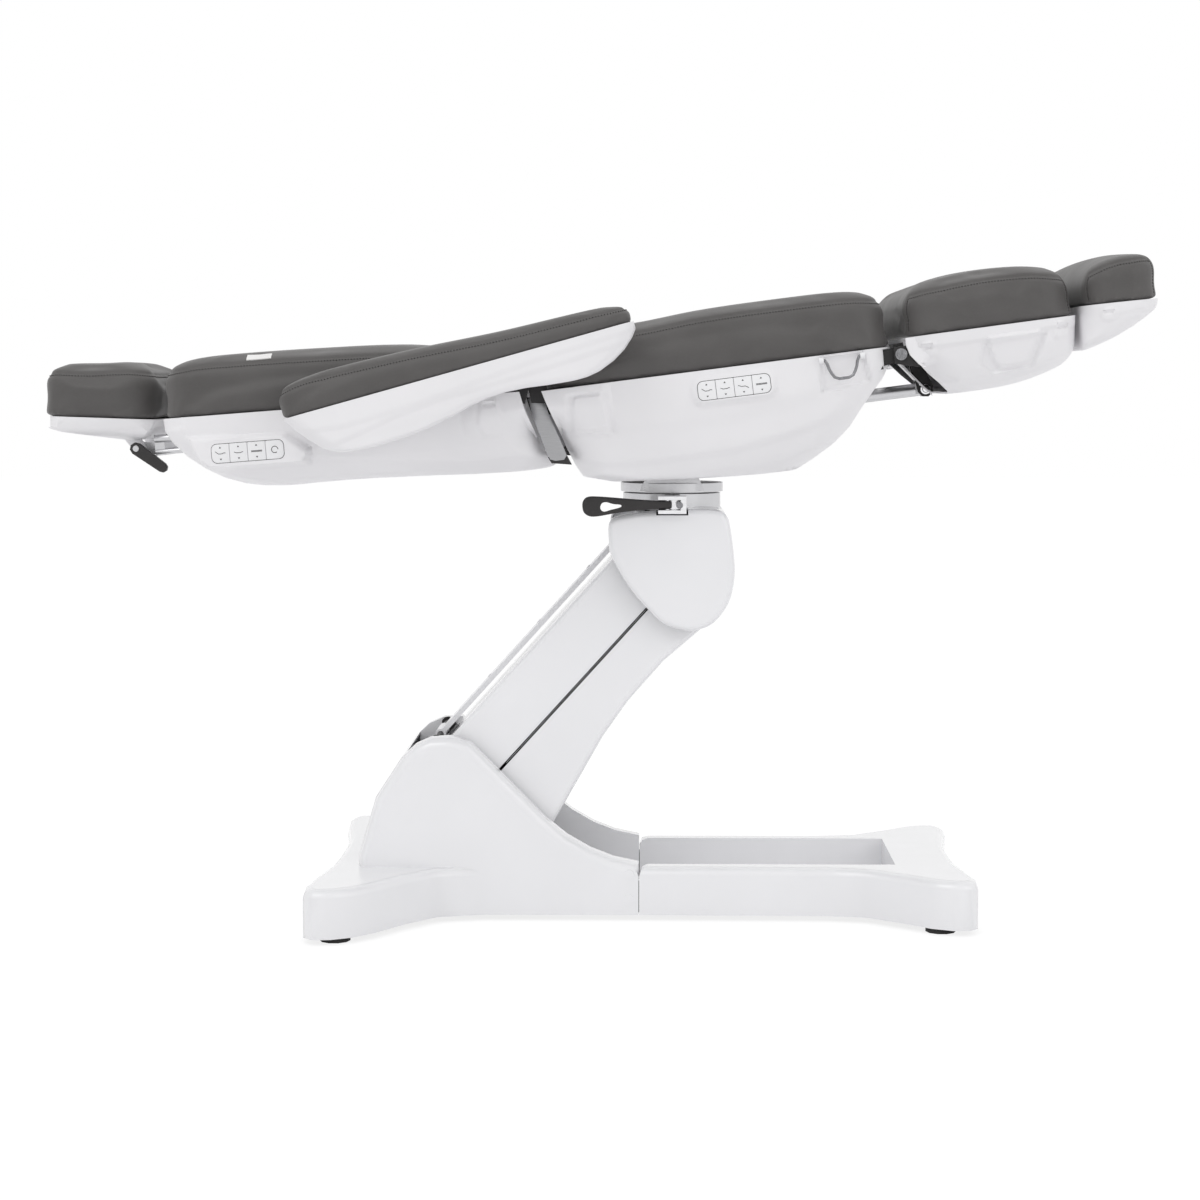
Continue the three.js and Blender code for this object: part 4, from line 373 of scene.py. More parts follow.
def shade(obj, angle):
    """Smooth shading with hard edges above an angle in degrees."""
    obj.data.shade_smooth()
    obj.modifiers.new("split", "EDGE_SPLIT").split_angle = math.radians(angle)


def full_turn(count):
    """Angles once round."""
    return [2 * math.pi * k / count for k in range(count)]


def strips(rings, count):
    """The quads between closed rings of as many points each."""
    return [
        (k * count + i, k * count + (i + 1) % count, (k + 1) * count + (i + 1) % count, (k + 1) * count + i)
        for k in range(rings - 1) for i in range(count)
    ]


def lofted(rings):
    """A closed solid through rings of as many points each."""
    count = len(rings[0])
    points = [tuple(p) for ring in rings for p in ring]
    faces = strips(len(rings), count) + [tuple(range(count))[::-1]]
    faces.append(tuple((len(rings) - 1) * count + i for i in range(count)))
    return points, faces


def corner_centres(start, end, half, corner):
    """Centres of a plan's rounded corners, round from the far one at its end."""
    return [
        (end - corner, half - corner), (start + corner, half - corner),
        (start + corner, corner - half), (end - corner, corner - half),
    ]


def apply_all(obj):
    """Makes the object's modifiers real."""
    graph = bpy.context.evaluated_depsgraph_get()
    mesh = bpy.data.meshes.new_from_object(obj.evaluated_get(graph), depsgraph=graph)
    obj.modifiers.clear()
    old = obj.data
    obj.data = mesh
    bpy.data.meshes.remove(old)


def coords(obj):
    flat = np.empty(len(obj.data.vertices) * 3)
    obj.data.vertices.foreach_get("co", flat)
    return flat.reshape(-1, 3)


def set_coords(obj, points):
    obj.data.vertices.foreach_set("co", np.asarray(points, float).ravel())
    obj.data.update()


def normals_of(obj):
    flat = np.empty(len(obj.data.vertices) * 3)
    obj.data.vertex_normals.foreach_get("vector", flat)
    return flat.reshape(-1, 3)


# ---------------------------------------------------------------- cushions
def ease_heights(size):
    """The cushion's height along its length as a smooth curve through the stated shares."""
    xs = np.array([a for a, _ in size["heights"]], float)
    ys = np.array([b for _, b in size["heights"]], float)
    slope = np.diff(ys) / np.diff(xs)
    tangent = np.concatenate([[slope[0]], (slope[:-1] + slope[1:]) / 2, [slope[-1]]])
    for i in range(1, len(slope)):
        if slope[i - 1] * slope[i] <= 0:
            tangent[i] = 0

    def at(place):
        place = np.clip(place, 0, 1)
        i = np.clip(np.searchsorted(xs, place, side="right") - 1, 0, len(slope) - 1)
        w = xs[i + 1] - xs[i]
        t = (place - xs[i]) / w
        a, b = 2 * t**3 - 3 * t**2 + 1, t**3 - 2 * t**2 + t
        c, d = 3 * t**2 - 2 * t**3, t**3 - t**2
        return a * ys[i] + b * w * tangent[i] + c * ys[i + 1] + d * w * tangent[i + 1]

    return at


class Cushion:
    """The cushion's stated form as a smooth surface: plan direction u and level v give a point."""

    def __init__(self, size, shrink):
        self.size = size
        self.start, self.end = size.get("cushion_start", size["start"]) + shrink, size["cushion_end"] - shrink
        self.half = size["cushion_half"] - shrink
        self.corner = size["corner"] - shrink * 0.5
        self.bottom = size["deck"] + 0.3
        self.height_at = ease_heights(size)
        self.shrink = shrink
        self.plan()

    def plan(self):
        c, steps = self.corner, 14
        centres = corner_centres(self.start, self.end, self.half, c)
        rows = []
        for q, (x, y) in enumerate(centres):
            for s in range(steps + 1):
                a = (q + s / steps) * math.pi / 2
                rows.append((x + c * math.cos(a), y + c * math.sin(a), math.cos(a), math.sin(a), 0.0))
            last = rows[-1]
            nx, ny = centres[(q + 1) % 4]
            a = (q + 1) * math.pi / 2
            goal = (nx + c * math.cos(a), ny + c * math.sin(a))
            length = math.dist(goal, last[:2])
            parts = max(6, int(length / 9))
            for s in range(1, parts):
                t = s / parts
                rows.append((
                    last[0] + (goal[0] - last[0]) * t, last[1] + (goal[1] - last[1]) * t,
                    last[2], last[3], 4 * t * (1 - t),
                ))
        self.rows = np.array(rows)

    def top(self, x):
        size = self.size
        low = size.get("cushion_start", size["start"])
        place = (x - low) / (size["cushion_end"] - low)
        return size["deck"] + size["height"] * self.height_at(place) - self.shrink

    def ring(self, level):
        """level 0..1 is the wall, 1..2 the rolled edge and 2..3 the crown, for the whole plan."""
        x, y, nx, ny, pull = self.rows.T
        size = self.size
        start, end, side = size["rolls"]
        roll = [np.where(nx < 0, start[k], end[k]) * nx**2 + side[k] * ny**2 for k in (0, 1)]
        draw = size["draw"]
        foot = size["height"] * 0.035
        if level <= 1:
            high = self.top(x) - roll[1]
            z = self.bottom + (high - self.bottom) * level
            inwards = draw * pull + draw * math.sin(math.pi * level) + foot * max(0, 1 - level / 0.05)
            return np.stack([x - nx * inwards, y - ny * inwards, z], 1)
        if level <= 2:
            a = (level - 1) * math.pi / 2
            inwards = draw * pull * math.cos(a) + roll[0] * (1 - math.cos(a))
            px = x - nx * roll[0] * (1 - math.cos(a))
            return np.stack([x - nx * inwards, y - ny * inwards, self.top(px) - roll[1] * (1 - math.sin(a))], 1)
        last = self.ring(2.0)
        share = 3 - level
        mid = (self.start + self.end) / 2
        nearer = mid + (last[:, 0] - mid) * share
        z = self.top(nearer) + size["crown"] * (1 - share**2)
        return np.stack([nearer, last[:, 1] * share, z], 1)

    def mesh(self):
        levels = [0, 0.02, 0.05] + list(np.linspace(0.12, 1, 7)) + list(np.linspace(1, 2, 9)[1:])
        levels += list(np.linspace(2, 3, 26)[1:-1])
        rings = [self.ring(v) for v in levels]
        count = len(self.rows)
        points = np.concatenate(rings)
        faces = strips(len(rings), count)
        mid = (self.start + self.end) / 2
        low, high = len(points), len(points) + 1
        peak = self.top(np.array([mid]))[0] + self.size["crown"]
        points = np.concatenate([points, [[mid, 0, self.bottom]], [[mid, 0, peak]]])
        last = (len(rings) - 1) * count
        for i in range(count):
            j = (i + 1) % count
            faces.append((j, i, low))
            faces.append((last + i, last + j, high))
        return points, faces

    def path(self, level):
        """Evenly spaced points once round at one level."""
        ring = self.ring(level)
        return even(np.concatenate([ring, ring[:1]]))


def even(points, spacing=STITCH_STEP):
    """The same path in even steps."""
    step = np.linalg.norm(np.diff(points, axis=0), axis=1)
    along = np.concatenate([[0], np.cumsum(step)])
    count = max(2, int(round(along[-1] / spacing)))
    at = np.linspace(0, along[-1], count + 1)
    return np.stack([np.interp(at, along, points[:, k]) for k in range(3)], 1)


def simulate(obj, place, size, cap):
    """Blows the cushion up as cloth over its foam, with its base held, and caps how far it swells."""
    bpy.ops.object.select_all(action="DESELECT")
    before = coords(obj).copy()
    local = place.local(before)
    held = obj.vertex_groups.new(name="held")
    weight = np.clip((size["deck"] + 12 - local[:, 2]) / 8, 0, 1)
    for i, w in enumerate(weight):
        if w > 0:
            held.add([i], float(w), "REPLACE")
    cloth = obj.modifiers.new("cloth", "CLOTH")
    settings = cloth.settings
    settings.quality = 5
    settings.mass = 0.4
    settings.tension_stiffness = 18
    settings.compression_stiffness = 18
    settings.shear_stiffness = 8
    settings.bending_stiffness = 2.0
    settings.use_pressure = True
    settings.uniform_pressure_force = PRESSURE
    settings.vertex_group_mass = "held"
    settings.effector_weights.gravity = 0
    cloth.collision_settings.use_collision = False
    cloth.point_cache.frame_start, cloth.point_cache.frame_end = 1, SETTLE
    scene = bpy.context.scene
    for step in range(1, SETTLE + 1):
        scene.frame_set(step)
    apply_all(obj)
    scene.frame_set(1)
    moved = coords(obj) - before
    length = np.linalg.norm(moved, axis=1, keepdims=True)
    set_coords(obj, before + moved * np.minimum(1, cap / np.maximum(length, 1e-9)))


def capsule(centre, along, up, length, radius):
    """A short bent stitch lying on the surface: points and faces."""
    side = np.cross(along, up)
    rings = []
    for r in range(5):
        t = r / 4 * 2 - 1
        rad = radius * math.sqrt(max(0.08, 1 - t**4))
        mid = centre + along * (t * length / 2) + up * (radius * (0.55 - 1.1 * t * t))
        rings.append([mid + rad * (math.cos(a) * side + math.sin(a) * up) for a in full_turn(6)])
    return lofted(rings)


def seam_paths(form, style):
    """Lines of top stitching and of the seam beside them, in the section's frame."""
    lines = []
    for level, *groove in SEAMS:
        if style == "ring":
            lines.append((form.path(level), *groove))
            continue
        ring = form.ring(level)
        for side in (-1, 1):
            chosen = np.nonzero(side * form.rows[:, 3] > 0.35)[0]
            order = chosen[np.argsort(ring[chosen][:, 0])]
            ends = [wall_line(form, ring[i], form.rows[i, 2:4]) for i in (order[0], order[-1])]
            lines.append((even(np.concatenate([ends[0][::-1], ring[order], ends[1]])), *groove))
    return lines


def wall_line(form, top, out):
    """Points straight down the cushion's wall from a point of its rolled edge."""
    zs = np.arange(top[2] - 6, form.bottom + 5, -5.0)
    points = np.stack([np.full(len(zs), top[0]), np.full(len(zs), top[1]), zs], 1)
    points[:, :2] += out * np.clip((top[2] - zs)[:, None] / 14, 0, 1) * 7
    return points


def upholster(body, place, size, style="ring", cap=0.0045, voxel=0.006, shrink=3.5, hump=None):
    """A padded, stitched cover in the space of a cushion node."""
    node = body + "_cushion"
    form = Cushion(size, shrink)
    points, faces = form.mesh()
    if hump:
        points[:, 2] += hump(points)
    obj = new_piece(node + "_cover", place.points(points), faces, VINYL, body, [node], "vinyl")
    remesh = obj.modifiers.new("voxels", "REMESH")
    remesh.mode = "VOXEL"
    remesh.voxel_size = voxel
    remesh.use_smooth_shade = True
    obj.modifiers.new("ease", "SMOOTH").iterations = 4
    apply_all(obj)
    simulate(obj, place, size, cap)
    obj.modifiers.new("ease", "SMOOTH").iterations = 3
    finer = obj.modifiers.new("finer", "SUBSURF")
    finer.levels = finer.render_levels = 1
    apply_all(obj)
    sew(obj, form, place, style, hump)
    # The base lies flat on its tray
    local = place.local(coords(obj))
    local[:, 2] = np.maximum(local[:, 2], form.bottom)
    set_coords(obj, place.points(local))
    obj.data.shade_smooth()
    return obj


def sew(obj, form, place, style, hump):
    """Sinks the seams into the cover and lays the stitches on it."""
    tree = BVHTree.FromObject(obj, bpy.context.evaluated_depsgraph_get())
    verts, normals = coords(obj), normals_of(obj)
    sink = np.zeros(len(verts))
    stitches = []
    for points, width, depth, stitched in seam_paths(form, style):
        if hump:
            points[:, 2] += hump(points)
        hits = [tree.find_nearest(Vector(p)) for p in place.points(points)]
        on, ups = np.array([hit[0][:] for hit in hits]), np.array([hit[1][:] for hit in hits])
        for a in range(0, len(on), 64):
            part = on[a:a + 64]
            box_low, box_high = part.min(0) - 0.01, part.max(0) + 0.01
            near = np.nonzero(np.all((verts > box_low) & (verts < box_high), axis=1))[0]
            if len(near) == 0:
                continue
            gap = np.min(np.linalg.norm(verts[near][:, None] - part[None], axis=2), axis=1)
            sink[near] = np.maximum(sink[near], depth * np.exp(-((gap / width) ** 2)))
        if not stitched:
            continue
        for i in range(len(on) - 1):
            along = on[i + 1] - on[i]
            length = np.linalg.norm(along)
            if length < 1e-5:
                continue
            along /= length
            up = ups[i] - along * np.dot(ups[i], along)
            up /= np.linalg.norm(up)
            mid = (on[i] + on[i + 1]) / 2 - up * 0.0010
            stitches.append(capsule(mid, along, up, length * 0.62, THREAD_RADIUS))
    set_coords(obj, verts - normals * sink[:, None])
    body = obj.parent.name.replace("body:", "")
    new_piece(obj.name.replace("_cover", "_stitching"), *merged(*stitches), THREAD, body, (), "vinyl")


# ---------------------------------------------------------------- moulded shells
def chaikin(points, times=2):
    """Cuts the corners of an open outline."""
    points = np.asarray(points, float)
    for _ in range(times):
        a, b = points[:-1], points[1:]
        cut = np.empty((len(a) * 2, points.shape[1]))
        cut[0::2], cut[1::2] = a * 0.75 + b * 0.25, a * 0.25 + b * 0.75
        points = np.concatenate([points[:1], cut, points[-1:]])
    return points


def polygon_distance(u, v, outline):
    """Signed distance to a closed outline, negative inside, for arrays of points."""
    a = np.asarray(outline, float)
    b = np.roll(a, -1, axis=0)
    best = np.full(u.shape, 1e18)
    inside = np.zeros(u.shape, bool)
    for (ax, ay), (bx, by) in zip(a, b):
        ex, ey = bx - ax, by - ay
        length = ex * ex + ey * ey
        if length < 1e-12:
            continue
        wx, wy = u - ax, v - ay
        t = np.clip((wx * ex + wy * ey) / length, 0, 1)
        best = np.minimum(best, (wx - t * ex) ** 2 + (wy - t * ey) ** 2)
        crosses = (ay > v) != (by > v)
        if abs(ey) > 1e-12:
            inside ^= crosses & (u < ax + (v - ay) * ex / ey)
    return np.where(inside, -1, 1) * np.sqrt(best)


def soft_max(a, b, k):
    h = np.clip(0.5 + 0.5 * (a - b) / k, 0, 1)
    return b + (a - b) * h + k * h * (1 - h)


def ramp(value, low, high):
    t = np.clip((value - low) / (high - low), 0, 1)
    return t * t * (3 - 2 * t)


class Tray:
    """The outer skin of a moulded tray, found by rays from the middle of its deck."""

    def __init__(self, size, around=460, wall=46, floor=26, fillet=10):
        self.size = size
        self.fillet = fillet
        deck, half, far_up = size["deck"], size["half"], size["deck"] + 60
        length = size["end"] - size["start"]
        profile = [(size["start"] + a * length, deck - b * size["depth"]) for a, b in size["profile"]]
        profile = chaikin(profile, 1)
        self.profile = np.concatenate([profile, [[profile[-1][0], far_up], [profile[0][0], far_up]]])
        self.side = [half + a * (size["bottom"] - half) for a, _ in SECTION]
        side = chaikin([(y, deck - b * size["depth"]) for y, (_, b) in zip(self.side, SECTION)])
        self.section = np.concatenate([side * (-1, 1), side[::-1], [[half, far_up], [-half, far_up]]])
        self.levels = np.linspace(deck - size["depth"], deck, 60)
        ends = []
        for z in self.levels:
            xs = []
            for (ax, az), (bx, bz) in zip(profile[:-1], profile[1:]):
                if (az - z) * (bz - z) <= 0 and az != bz:
                    xs.append(ax + (bx - ax) * (z - az) / (bz - az))
            xs = xs or [(size["start"] + size["end"]) / 2]
            ends.append((min(xs), max(xs)))
        self.lows, self.highs = np.array(ends).T
        self.build(around, wall, floor)

    def value(self, p):
        """How far points lie outside the skin, negative inside."""
        s = self.size
        x, y, z = p[..., 0], p[..., 1], p[..., 2]
        f = soft_max(polygon_distance(x, z, self.profile), polygon_distance(y, z, self.section), self.fillet)
        low, high = np.interp(z, self.levels, self.lows), np.interp(z, self.levels, self.highs)
        middle, half = (low + high) / 2, np.maximum((high - low) / 2, 1)
        depth = np.clip((s["deck"] - z) / s["depth"], 0, 1)
        halfway = np.interp(depth, [b for _, b in SECTION], self.side)
        corner = np.minimum(s["corner"], half * 0.9)
        qx, qy = np.abs(x - middle) - (half - corner), np.abs(y) - (halfway - corner)
        round_plan = np.hypot(np.maximum(qx, 0), np.maximum(qy, 0)) + np.minimum(np.maximum(qx, qy), 0) - corner
        return np.maximum(f, round_plan)

    def build(self, around, wall, floor):
        """The rings of the skin, from the rim down the walls and over the floor to its foot."""
        s = self.size
        c = s["corner"]
        rim = []
        for q, (x, y) in enumerate(corner_centres(s["start"], s["end"], s["half"], c)):
            for k in range(17):
                a = (q + k / 16) * math.pi / 2
                rim.append((x + c * math.cos(a), y + c * math.sin(a), s["deck"]))
        rim = np.array(rim + rim[:1])
        rim = even(rim, np.linalg.norm(np.diff(rim, axis=0), axis=1).sum() / around)[:-1]
        self.count = len(rim)
        self.mid = mid = np.array([(s["start"] + s["end"]) / 2, 0, s["deck"]])
        lower = mid + (rim - mid) * (0.86, 0.78, 1) - (0, 0, s["depth"])
        foot = mid - (0, 0, s["depth"])
        goals = [rim + (lower - rim) * t for t in np.linspace(0, 1, wall)[1:]]
        goals += [lower + (foot - lower) * t for t in np.linspace(0, 1, floor)[1:-1]]
        way = np.array(goals) - mid
        reach = np.linalg.norm(way, axis=2, keepdims=True)
        self.rows = [rim] + list(self.skin(way / reach, reach.max() * 1.4))
        self.foot = self.skin(np.array([[0, 0, -1.0]]), reach.max() * 1.4)[0]

    def skin(self, way, far):
        """Where rays from the middle of the deck leave the tray: the first crossing, then halving."""
        low, high = np.zeros(way.shape[:-1]), np.full(way.shape[:-1], far)
        found = np.zeros(low.shape, bool)
        step = far / 89
        for reach in np.arange(1, 90) * step:
            fresh = (self.value(self.mid + way * reach) > 0) & ~found
            low[fresh], high[fresh] = reach - step, reach
            found |= fresh
        for _ in range(16):
            half = (low + high) / 2
            outside = self.value(self.mid + way * half[..., None]) > 0
            high, low = np.where(outside, half, high), np.where(outside, low, half)
        return self.mid + way * ((low + high) / 2)[..., None]

    def mesh(self, steps):
        """Points and faces of the skin with a narrow turned-in rim, after the steps that shape it."""
        shares = [1 - inwards / self.size["half"] for inwards in (14, 2)]
        rings = [self.mid + (self.rows[0] - self.mid) * (share, share, 1) for share in shares] + self.rows
        points = np.concatenate(rings + [self.foot[None]])
        for step, outline, *how in steps:
            points = step(points, outline, *how)
        n = self.count
        last = (len(rings) - 1) * n
        faces = [(b, a, d, c) for a, b, c, d in strips(len(rings), n)]
        faces += [(last + (i + 1) % n, last + i, len(points) - 1) for i in range(n)]
        return points, faces


def along_walls(points):
    """1 on the near and far walls, 0 on the floor and round the ends."""
    reach = np.abs(points[:, 1]).max()
    return ramp(np.abs(points[:, 1]), 0.62 * reach, 0.78 * reach)


def press(points, outline, depth=0.0, soft=5.0, sides=(-1, 1), goal=None):
    """Sinks the walls by a depth, or brings them to a given |y|, inside a soft (x, z) outline."""
    inside = ramp(-polygon_distance(points[:, 0], points[:, 2], outline), -soft / 2, soft / 2)
    share = inside * along_walls(points)
    moved = points.copy()
    for way in sides:
        here = share * (points[:, 1] * way > 0)
        moved[:, 1] += here * (-way * depth if goal is None else way * goal - points[:, 1])
    return moved


def crease(points, line, depth, soft):
    """Draws the walls in below a line with a soft step."""
    line = np.asarray(line, float)
    below = ramp(np.interp(points[:, 0], line[:, 0], line[:, 1]) - points[:, 2], -soft / 2, soft / 2)
    moved = points.copy()
    moved[:, 1] -= np.sign(points[:, 1]) * depth * below * along_walls(points)
    return moved


def rounded(x, z, half_x, half_z, radii):
    """A rounded rectangle's outline, its radii round from the upper right corner."""
    if not isinstance(radii, (list, tuple)):
        radii = [radii] * 4
    points = []
    for q, (sx, sz) in enumerate(((1, 1), (-1, 1), (-1, -1), (1, -1))):
        r = radii[q]
        for k in range(7):
            a = (q + k / 6) * math.pi / 2
            points.append((x + sx * (half_x - r) + r * math.cos(a), z + sz * (half_z - r) + r * math.sin(a)))
    return points


def inset(outline, by):
    """A convex outline drawn in by a distance."""
    p = np.asarray(outline, float)
    along = np.roll(p, -1, axis=0) - np.roll(p, 1, axis=0)
    side = np.stack([-along[:, 1], along[:, 0]], 1)
    side /= np.maximum(np.linalg.norm(side, axis=1, keepdims=True), 1e-9)
    if np.sum(side * (p.mean(0) - p)) < 0:
        side = -side
    return p + side * by


def ring_at(outline, y):
    """An (x, z) outline as a ring at one y."""
    return [(a, y, b) for a, b in outline]


def slab(outline, y0, y1, edge=0.0):
    """A slab with an (x, z) outline from y0 to y1, its last face with an eased edge."""
    way = math.copysign(1, y1 - y0)
    steps = [(y0, 0.0), (y1 - way * edge, 0.0)]
    if edge:
        steps += [(y1 - way * edge * 0.3, edge * 0.3), (y1, edge)]
    return lofted([ring_at(inset(outline, by), y) for y, by in steps])


def cup(outer, inner, front, floor, back):
    """A shallow open cup: a rim between two outlines round a sunk floor."""
    return lofted([ring_at(outer, back), ring_at(outer, front), ring_at(inner, front), ring_at(inner, floor)])


def disc(x, z, radius, sides=28):
    return [(x + radius * math.cos(a), z + radius * math.sin(a)) for a in full_turn(sides)]


def wire(path, radius):
    """A round wire along a path of (x, y, z) points."""
    path = np.asarray(path, float)
    rings = []
    side = None
    for i, p in enumerate(path):
        along = path[min(i + 1, len(path) - 1)] - path[max(i - 1, 0)]
        along /= np.linalg.norm(along)
        if side is None:
            side = np.cross(along, (0, 0, 1) if abs(along[2]) < 0.9 else (1, 0, 0))
        side = side - along * np.dot(side, along)
        side /= np.linalg.norm(side)
        other = np.cross(along, side)
        rings.append([tuple(p + radius * (math.cos(a) * side + math.sin(a) * other)) for a in full_turn(10)])
    return lofted(rings)


def merged(*solids):
    points, faces = [], []
    for p, f in solids:
        faces += [tuple(len(points) + k for k in face) for face in f]
        points += [tuple(q) for q in p]
    return points, faces


def fitting(name, solids, place, material, body, slot, replaces=(), angle=35, holes=()):
    """A small modelled piece made of closed solids in a section's frame, less its holes."""
    points, faces = merged(*solids)
    obj = new_piece(name, place.points(points), faces, material, body, replaces, slot)
    face_outwards(obj.data)
    if holes:
        cut_with(obj, place, holes)
    shade(obj, angle)
    return obj


def box_cutter(x, y, z):
    points = [(a, b, c) for a in x for b in y for c in z]
    faces = [(0, 1, 3, 2), (4, 6, 7, 5), (0, 4, 5, 1), (2, 3, 7, 6), (0, 2, 6, 4), (1, 5, 7, 3)]
    return points, faces


def both_sides(x, y, z):
    return [box_cutter(x, y, z), box_cutter(x, (-y[1], -y[0]), z)]


def rod_cutter(centre, axis, radius, reach):
    """A round rod along x or y between two ends."""
    section = disc(*centre, radius, 24)
    if axis == "x":
        return lofted([[(end, a, b) for a, b in section] for end in reach])
    return lofted([ring_at(section, end) for end in reach])


def cut_with(obj, place, cutters):
    """Takes the cutters' solids out of the piece."""
    points, faces = merged(*cutters)
    mesh = bpy.data.meshes.new("cutter")
    mesh.from_pydata([tuple(map(float, p)) for p in place.points(points)], [], faces)
    face_outwards(mesh)
    tool = bpy.data.objects.new("cutter", mesh)
    bpy.context.scene.collection.objects.link(tool)
    cut = obj.modifiers.new("cut", "BOOLEAN")
    cut.operation, cut.solver, cut.object = "DIFFERENCE", "MANIFOLD", tool
    apply_all(obj)
    bpy.data.objects.remove(tool)
    bpy.data.meshes.remove(mesh)


def mould(body, place, size, steps, cutters, thick=0.0028, **grid):
    """A smooth moulded skin in the space of a tray node."""
    node = body + "_shell"
    points, faces = Tray(size, **grid).mesh(steps)
    obj = new_piece(node + "_moulding", place.points(points), faces, SHELL, body, [node], "shell")
    face_outwards(obj.data, floor_down=True)
    solid = obj.modifiers.new("thick", "SOLIDIFY")
    solid.thickness, solid.offset = thick, -1
    apply_all(obj)
    cut_with(obj, place, cutters)
    shade(obj, 48)


# ---------------------------------------------------------------- shells
# The steps that shape each skin: lines below which the walls draw in, and outlines pressed into them
BACK_BOSS = [(-79, -52), (-56, -53), (-47, -92), (-54, -110), (-80, -108), (-88, -90)]
BACK_NOTCH = [(-77, -55), (-58, -56), (-60, -63), (-76, -62)]
SEAT_FORM = [
    (crease, [(-198, 70), (-84, 45), (11, 36), (100, 39), (190, 51), (237, 60), (340, 74)], 4.5, 30),
    (crease, [(-190, 4), (-154, 0), (-102, -11), (-31, -16), (94, -14), (171, -2), (240, 14), (330, 40)], 7, 16),
    (press, [(-158, 52), (-150, 104), (-92, 103), (-84, 38)], 4.5, 6),
    (press, [(-151, 44), (-141, 99), (-101, 99), (-93, 34)], -5.6, 4.5),
    (press, [(238, 60), (243, 114), (305, 114), (313, 68)], 9, 6, (-1,)),
    (press, rounded(104, 84.5, 63, 21, 14), 0, 5, (-1,), 300),
]
BACK_FORM = [
    (crease, [(-580, -96), (-507, -128), (-352, -122), (-251, -134), (-187, -144), (-89, -150), (30, -142)], 6, 12),
    (press, [(-574, -62), (-543, -58), (-534, -98), (-545, -100), (-573, -80)], -3.2, 6),
    (press, BACK_BOSS, -4, 7),
    (press, BACK_NOTCH, 3, 3),
    (press, [(-536, -76), (-386, -81), (-350, -108), (-356, -128), (-508, -126), (-524, -112)], 0, 9, (-1,), 301),
    (press, rounded(-444, -103, 63, 20.5, 14), 0, 4, (-1,), 300),
]
LEG_FORM = [
    (crease, [(0, 8), (55, 4), (128, 5), (222, 10), (277, 10)], 3.6, 4),
    (crease, [(20, -14), (84, -55), (180, -50), (277, -32)], 6.5, 8),
    (press, [(120, -30), (127, 0), (223, 3), (215, -14), (200, -45), (137, -47)], 6.5, 5),
    (press, [(131, 8), (214, 9), (193, -38), (149, -40), (141, -30)], -7.6, 4.5),
    *[step for x, z in ((40, 5), (248, 10)) for step in (
        (press, rounded(x, z - 5, 13, 13, 8), -4.6, 5), (press, rounded(x, z + 1, 8, 3, 2.8), 6.5, 3),
    )],
]
FOOT_FORM = [
    (crease, [(-3, -24), (40, -18), (118, -12)], 2, 4),
    (press, rounded(35, -17, 12, 9, 7), -3, 5),
    (press, rounded(35, -13.5, 7.5, 2.8, 2.6), 4.5, 3),
]
ARM_FORM = [
    (crease, [(-79, 40), (-53, 24), (10, 16), (126, 19), (225, 27), (323, 34), (468, 38)], 2.2, 9),
    (crease, [
        (-79, 10), (-46, 1), (-13, -6), (28, 0), (90, 10), (157, 16), (222, 16), (318, 18), (468, 24),
    ], 2.6, 8),
]

# The outline of a key pad's opening
PAD = rounded(0, 0, 56.6, 15.2, 9)


def moved_outline(outline, x, z):
    return [(a + x, b + z) for a, b in outline]


SEAT_CUTS = [
    box_cutter((-128, 101), (-101, 101), (-75, -7.4)), box_cutter((-196, -130), (-129, -91), (36.7, 103.5)),
    box_cutter((232, 362), (-19, 19), (0, 100.5)),
    *both_sides((-200, -137), (280, 308), (93.5, 124)), *both_sides((337.5, 360), (259, 279), (79.5, 112.8)),
    slab(moved_outline(PAD, 104, 84.5), -308, -295),
]
BACK_CUTS = [
    box_cutter((-32, 20), (-129.3, -90.7), (-108, -47)), *both_sides((-64, 4), (268, 308), (-66, -36)),
    *[rod_cutter((y, z), "x", r, (-592, -560)) for y in (-95, 95) for z, r in ((-74.4, 8.5), (-95.4, 6.5))],
    *[rod_cutter((-286, -93.3), "y", 10.5, (way * 270, way * 308)) for way in (-1, 1)],
    slab(moved_outline(PAD, -444, -103), -308, -295),
]
LEG_CUTS = [
    box_cutter((-8, 84.4), (-19.3, 19.3), (-84, 17.9)), *both_sides((-8, 27.7), (259, 279), (-17, 20.9)),
    *[rod_cutter((y, 6.4), "x", 10.5, (262, 290)) for y in (-150, 150)],
    slab([(-8, 17.9), (14, 17.9), (16, 0), (44, -36), (72, -66), (72, -71), (48, -71), (-8, -20)], -256, 256),
]
FOOT_CUTS = [rod_cutter((y, -30), "x", 12, (-12, 24)) for y in (-150, 150)]

mould("seat", SEAT, SEAT_SIZE, SEAT_FORM, SEAT_CUTS)
mould("back", BACK, BACK_SIZE, BACK_FORM, BACK_CUTS)
mould("leg", LEG, LEG_SIZE, LEG_FORM, LEG_CUTS, around=420, wall=40)
mould("foot", FOOT, FOOT_SIZE, FOOT_FORM, FOOT_CUTS, around=380, wall=32, fillet=8)
for label, place, side in (("near", ARM_NEAR, -1), ("far", ARM_FAR, 1)):
    hole = rod_cutter((0, 0), "y", 10, (-side * 40, -side * 62))
    mould(f"armrest_{label}", place, ARM_SIZE, ARM_FORM, [hole], 0.0026, around=300, wall=30, floor=14)


# ---------------------------------------------------------------- key pads
def stroke(points, width=0.9):
    """A thin line's outline pieces on the key face."""
    solids = []
    for (ax, az), (bx, bz) in zip(points[:-1], points[1:]):
        dx, dz = bx - ax, bz - az
        length = math.hypot(dx, dz)
        nx, nz = -dz / length * width / 2, dx / length * width / 2
        solids.append([(ax + nx, az + nz), (bx + nx, bz + nz), (bx - nx, bz - nz), (ax - nx, az - nz)])
    return solids


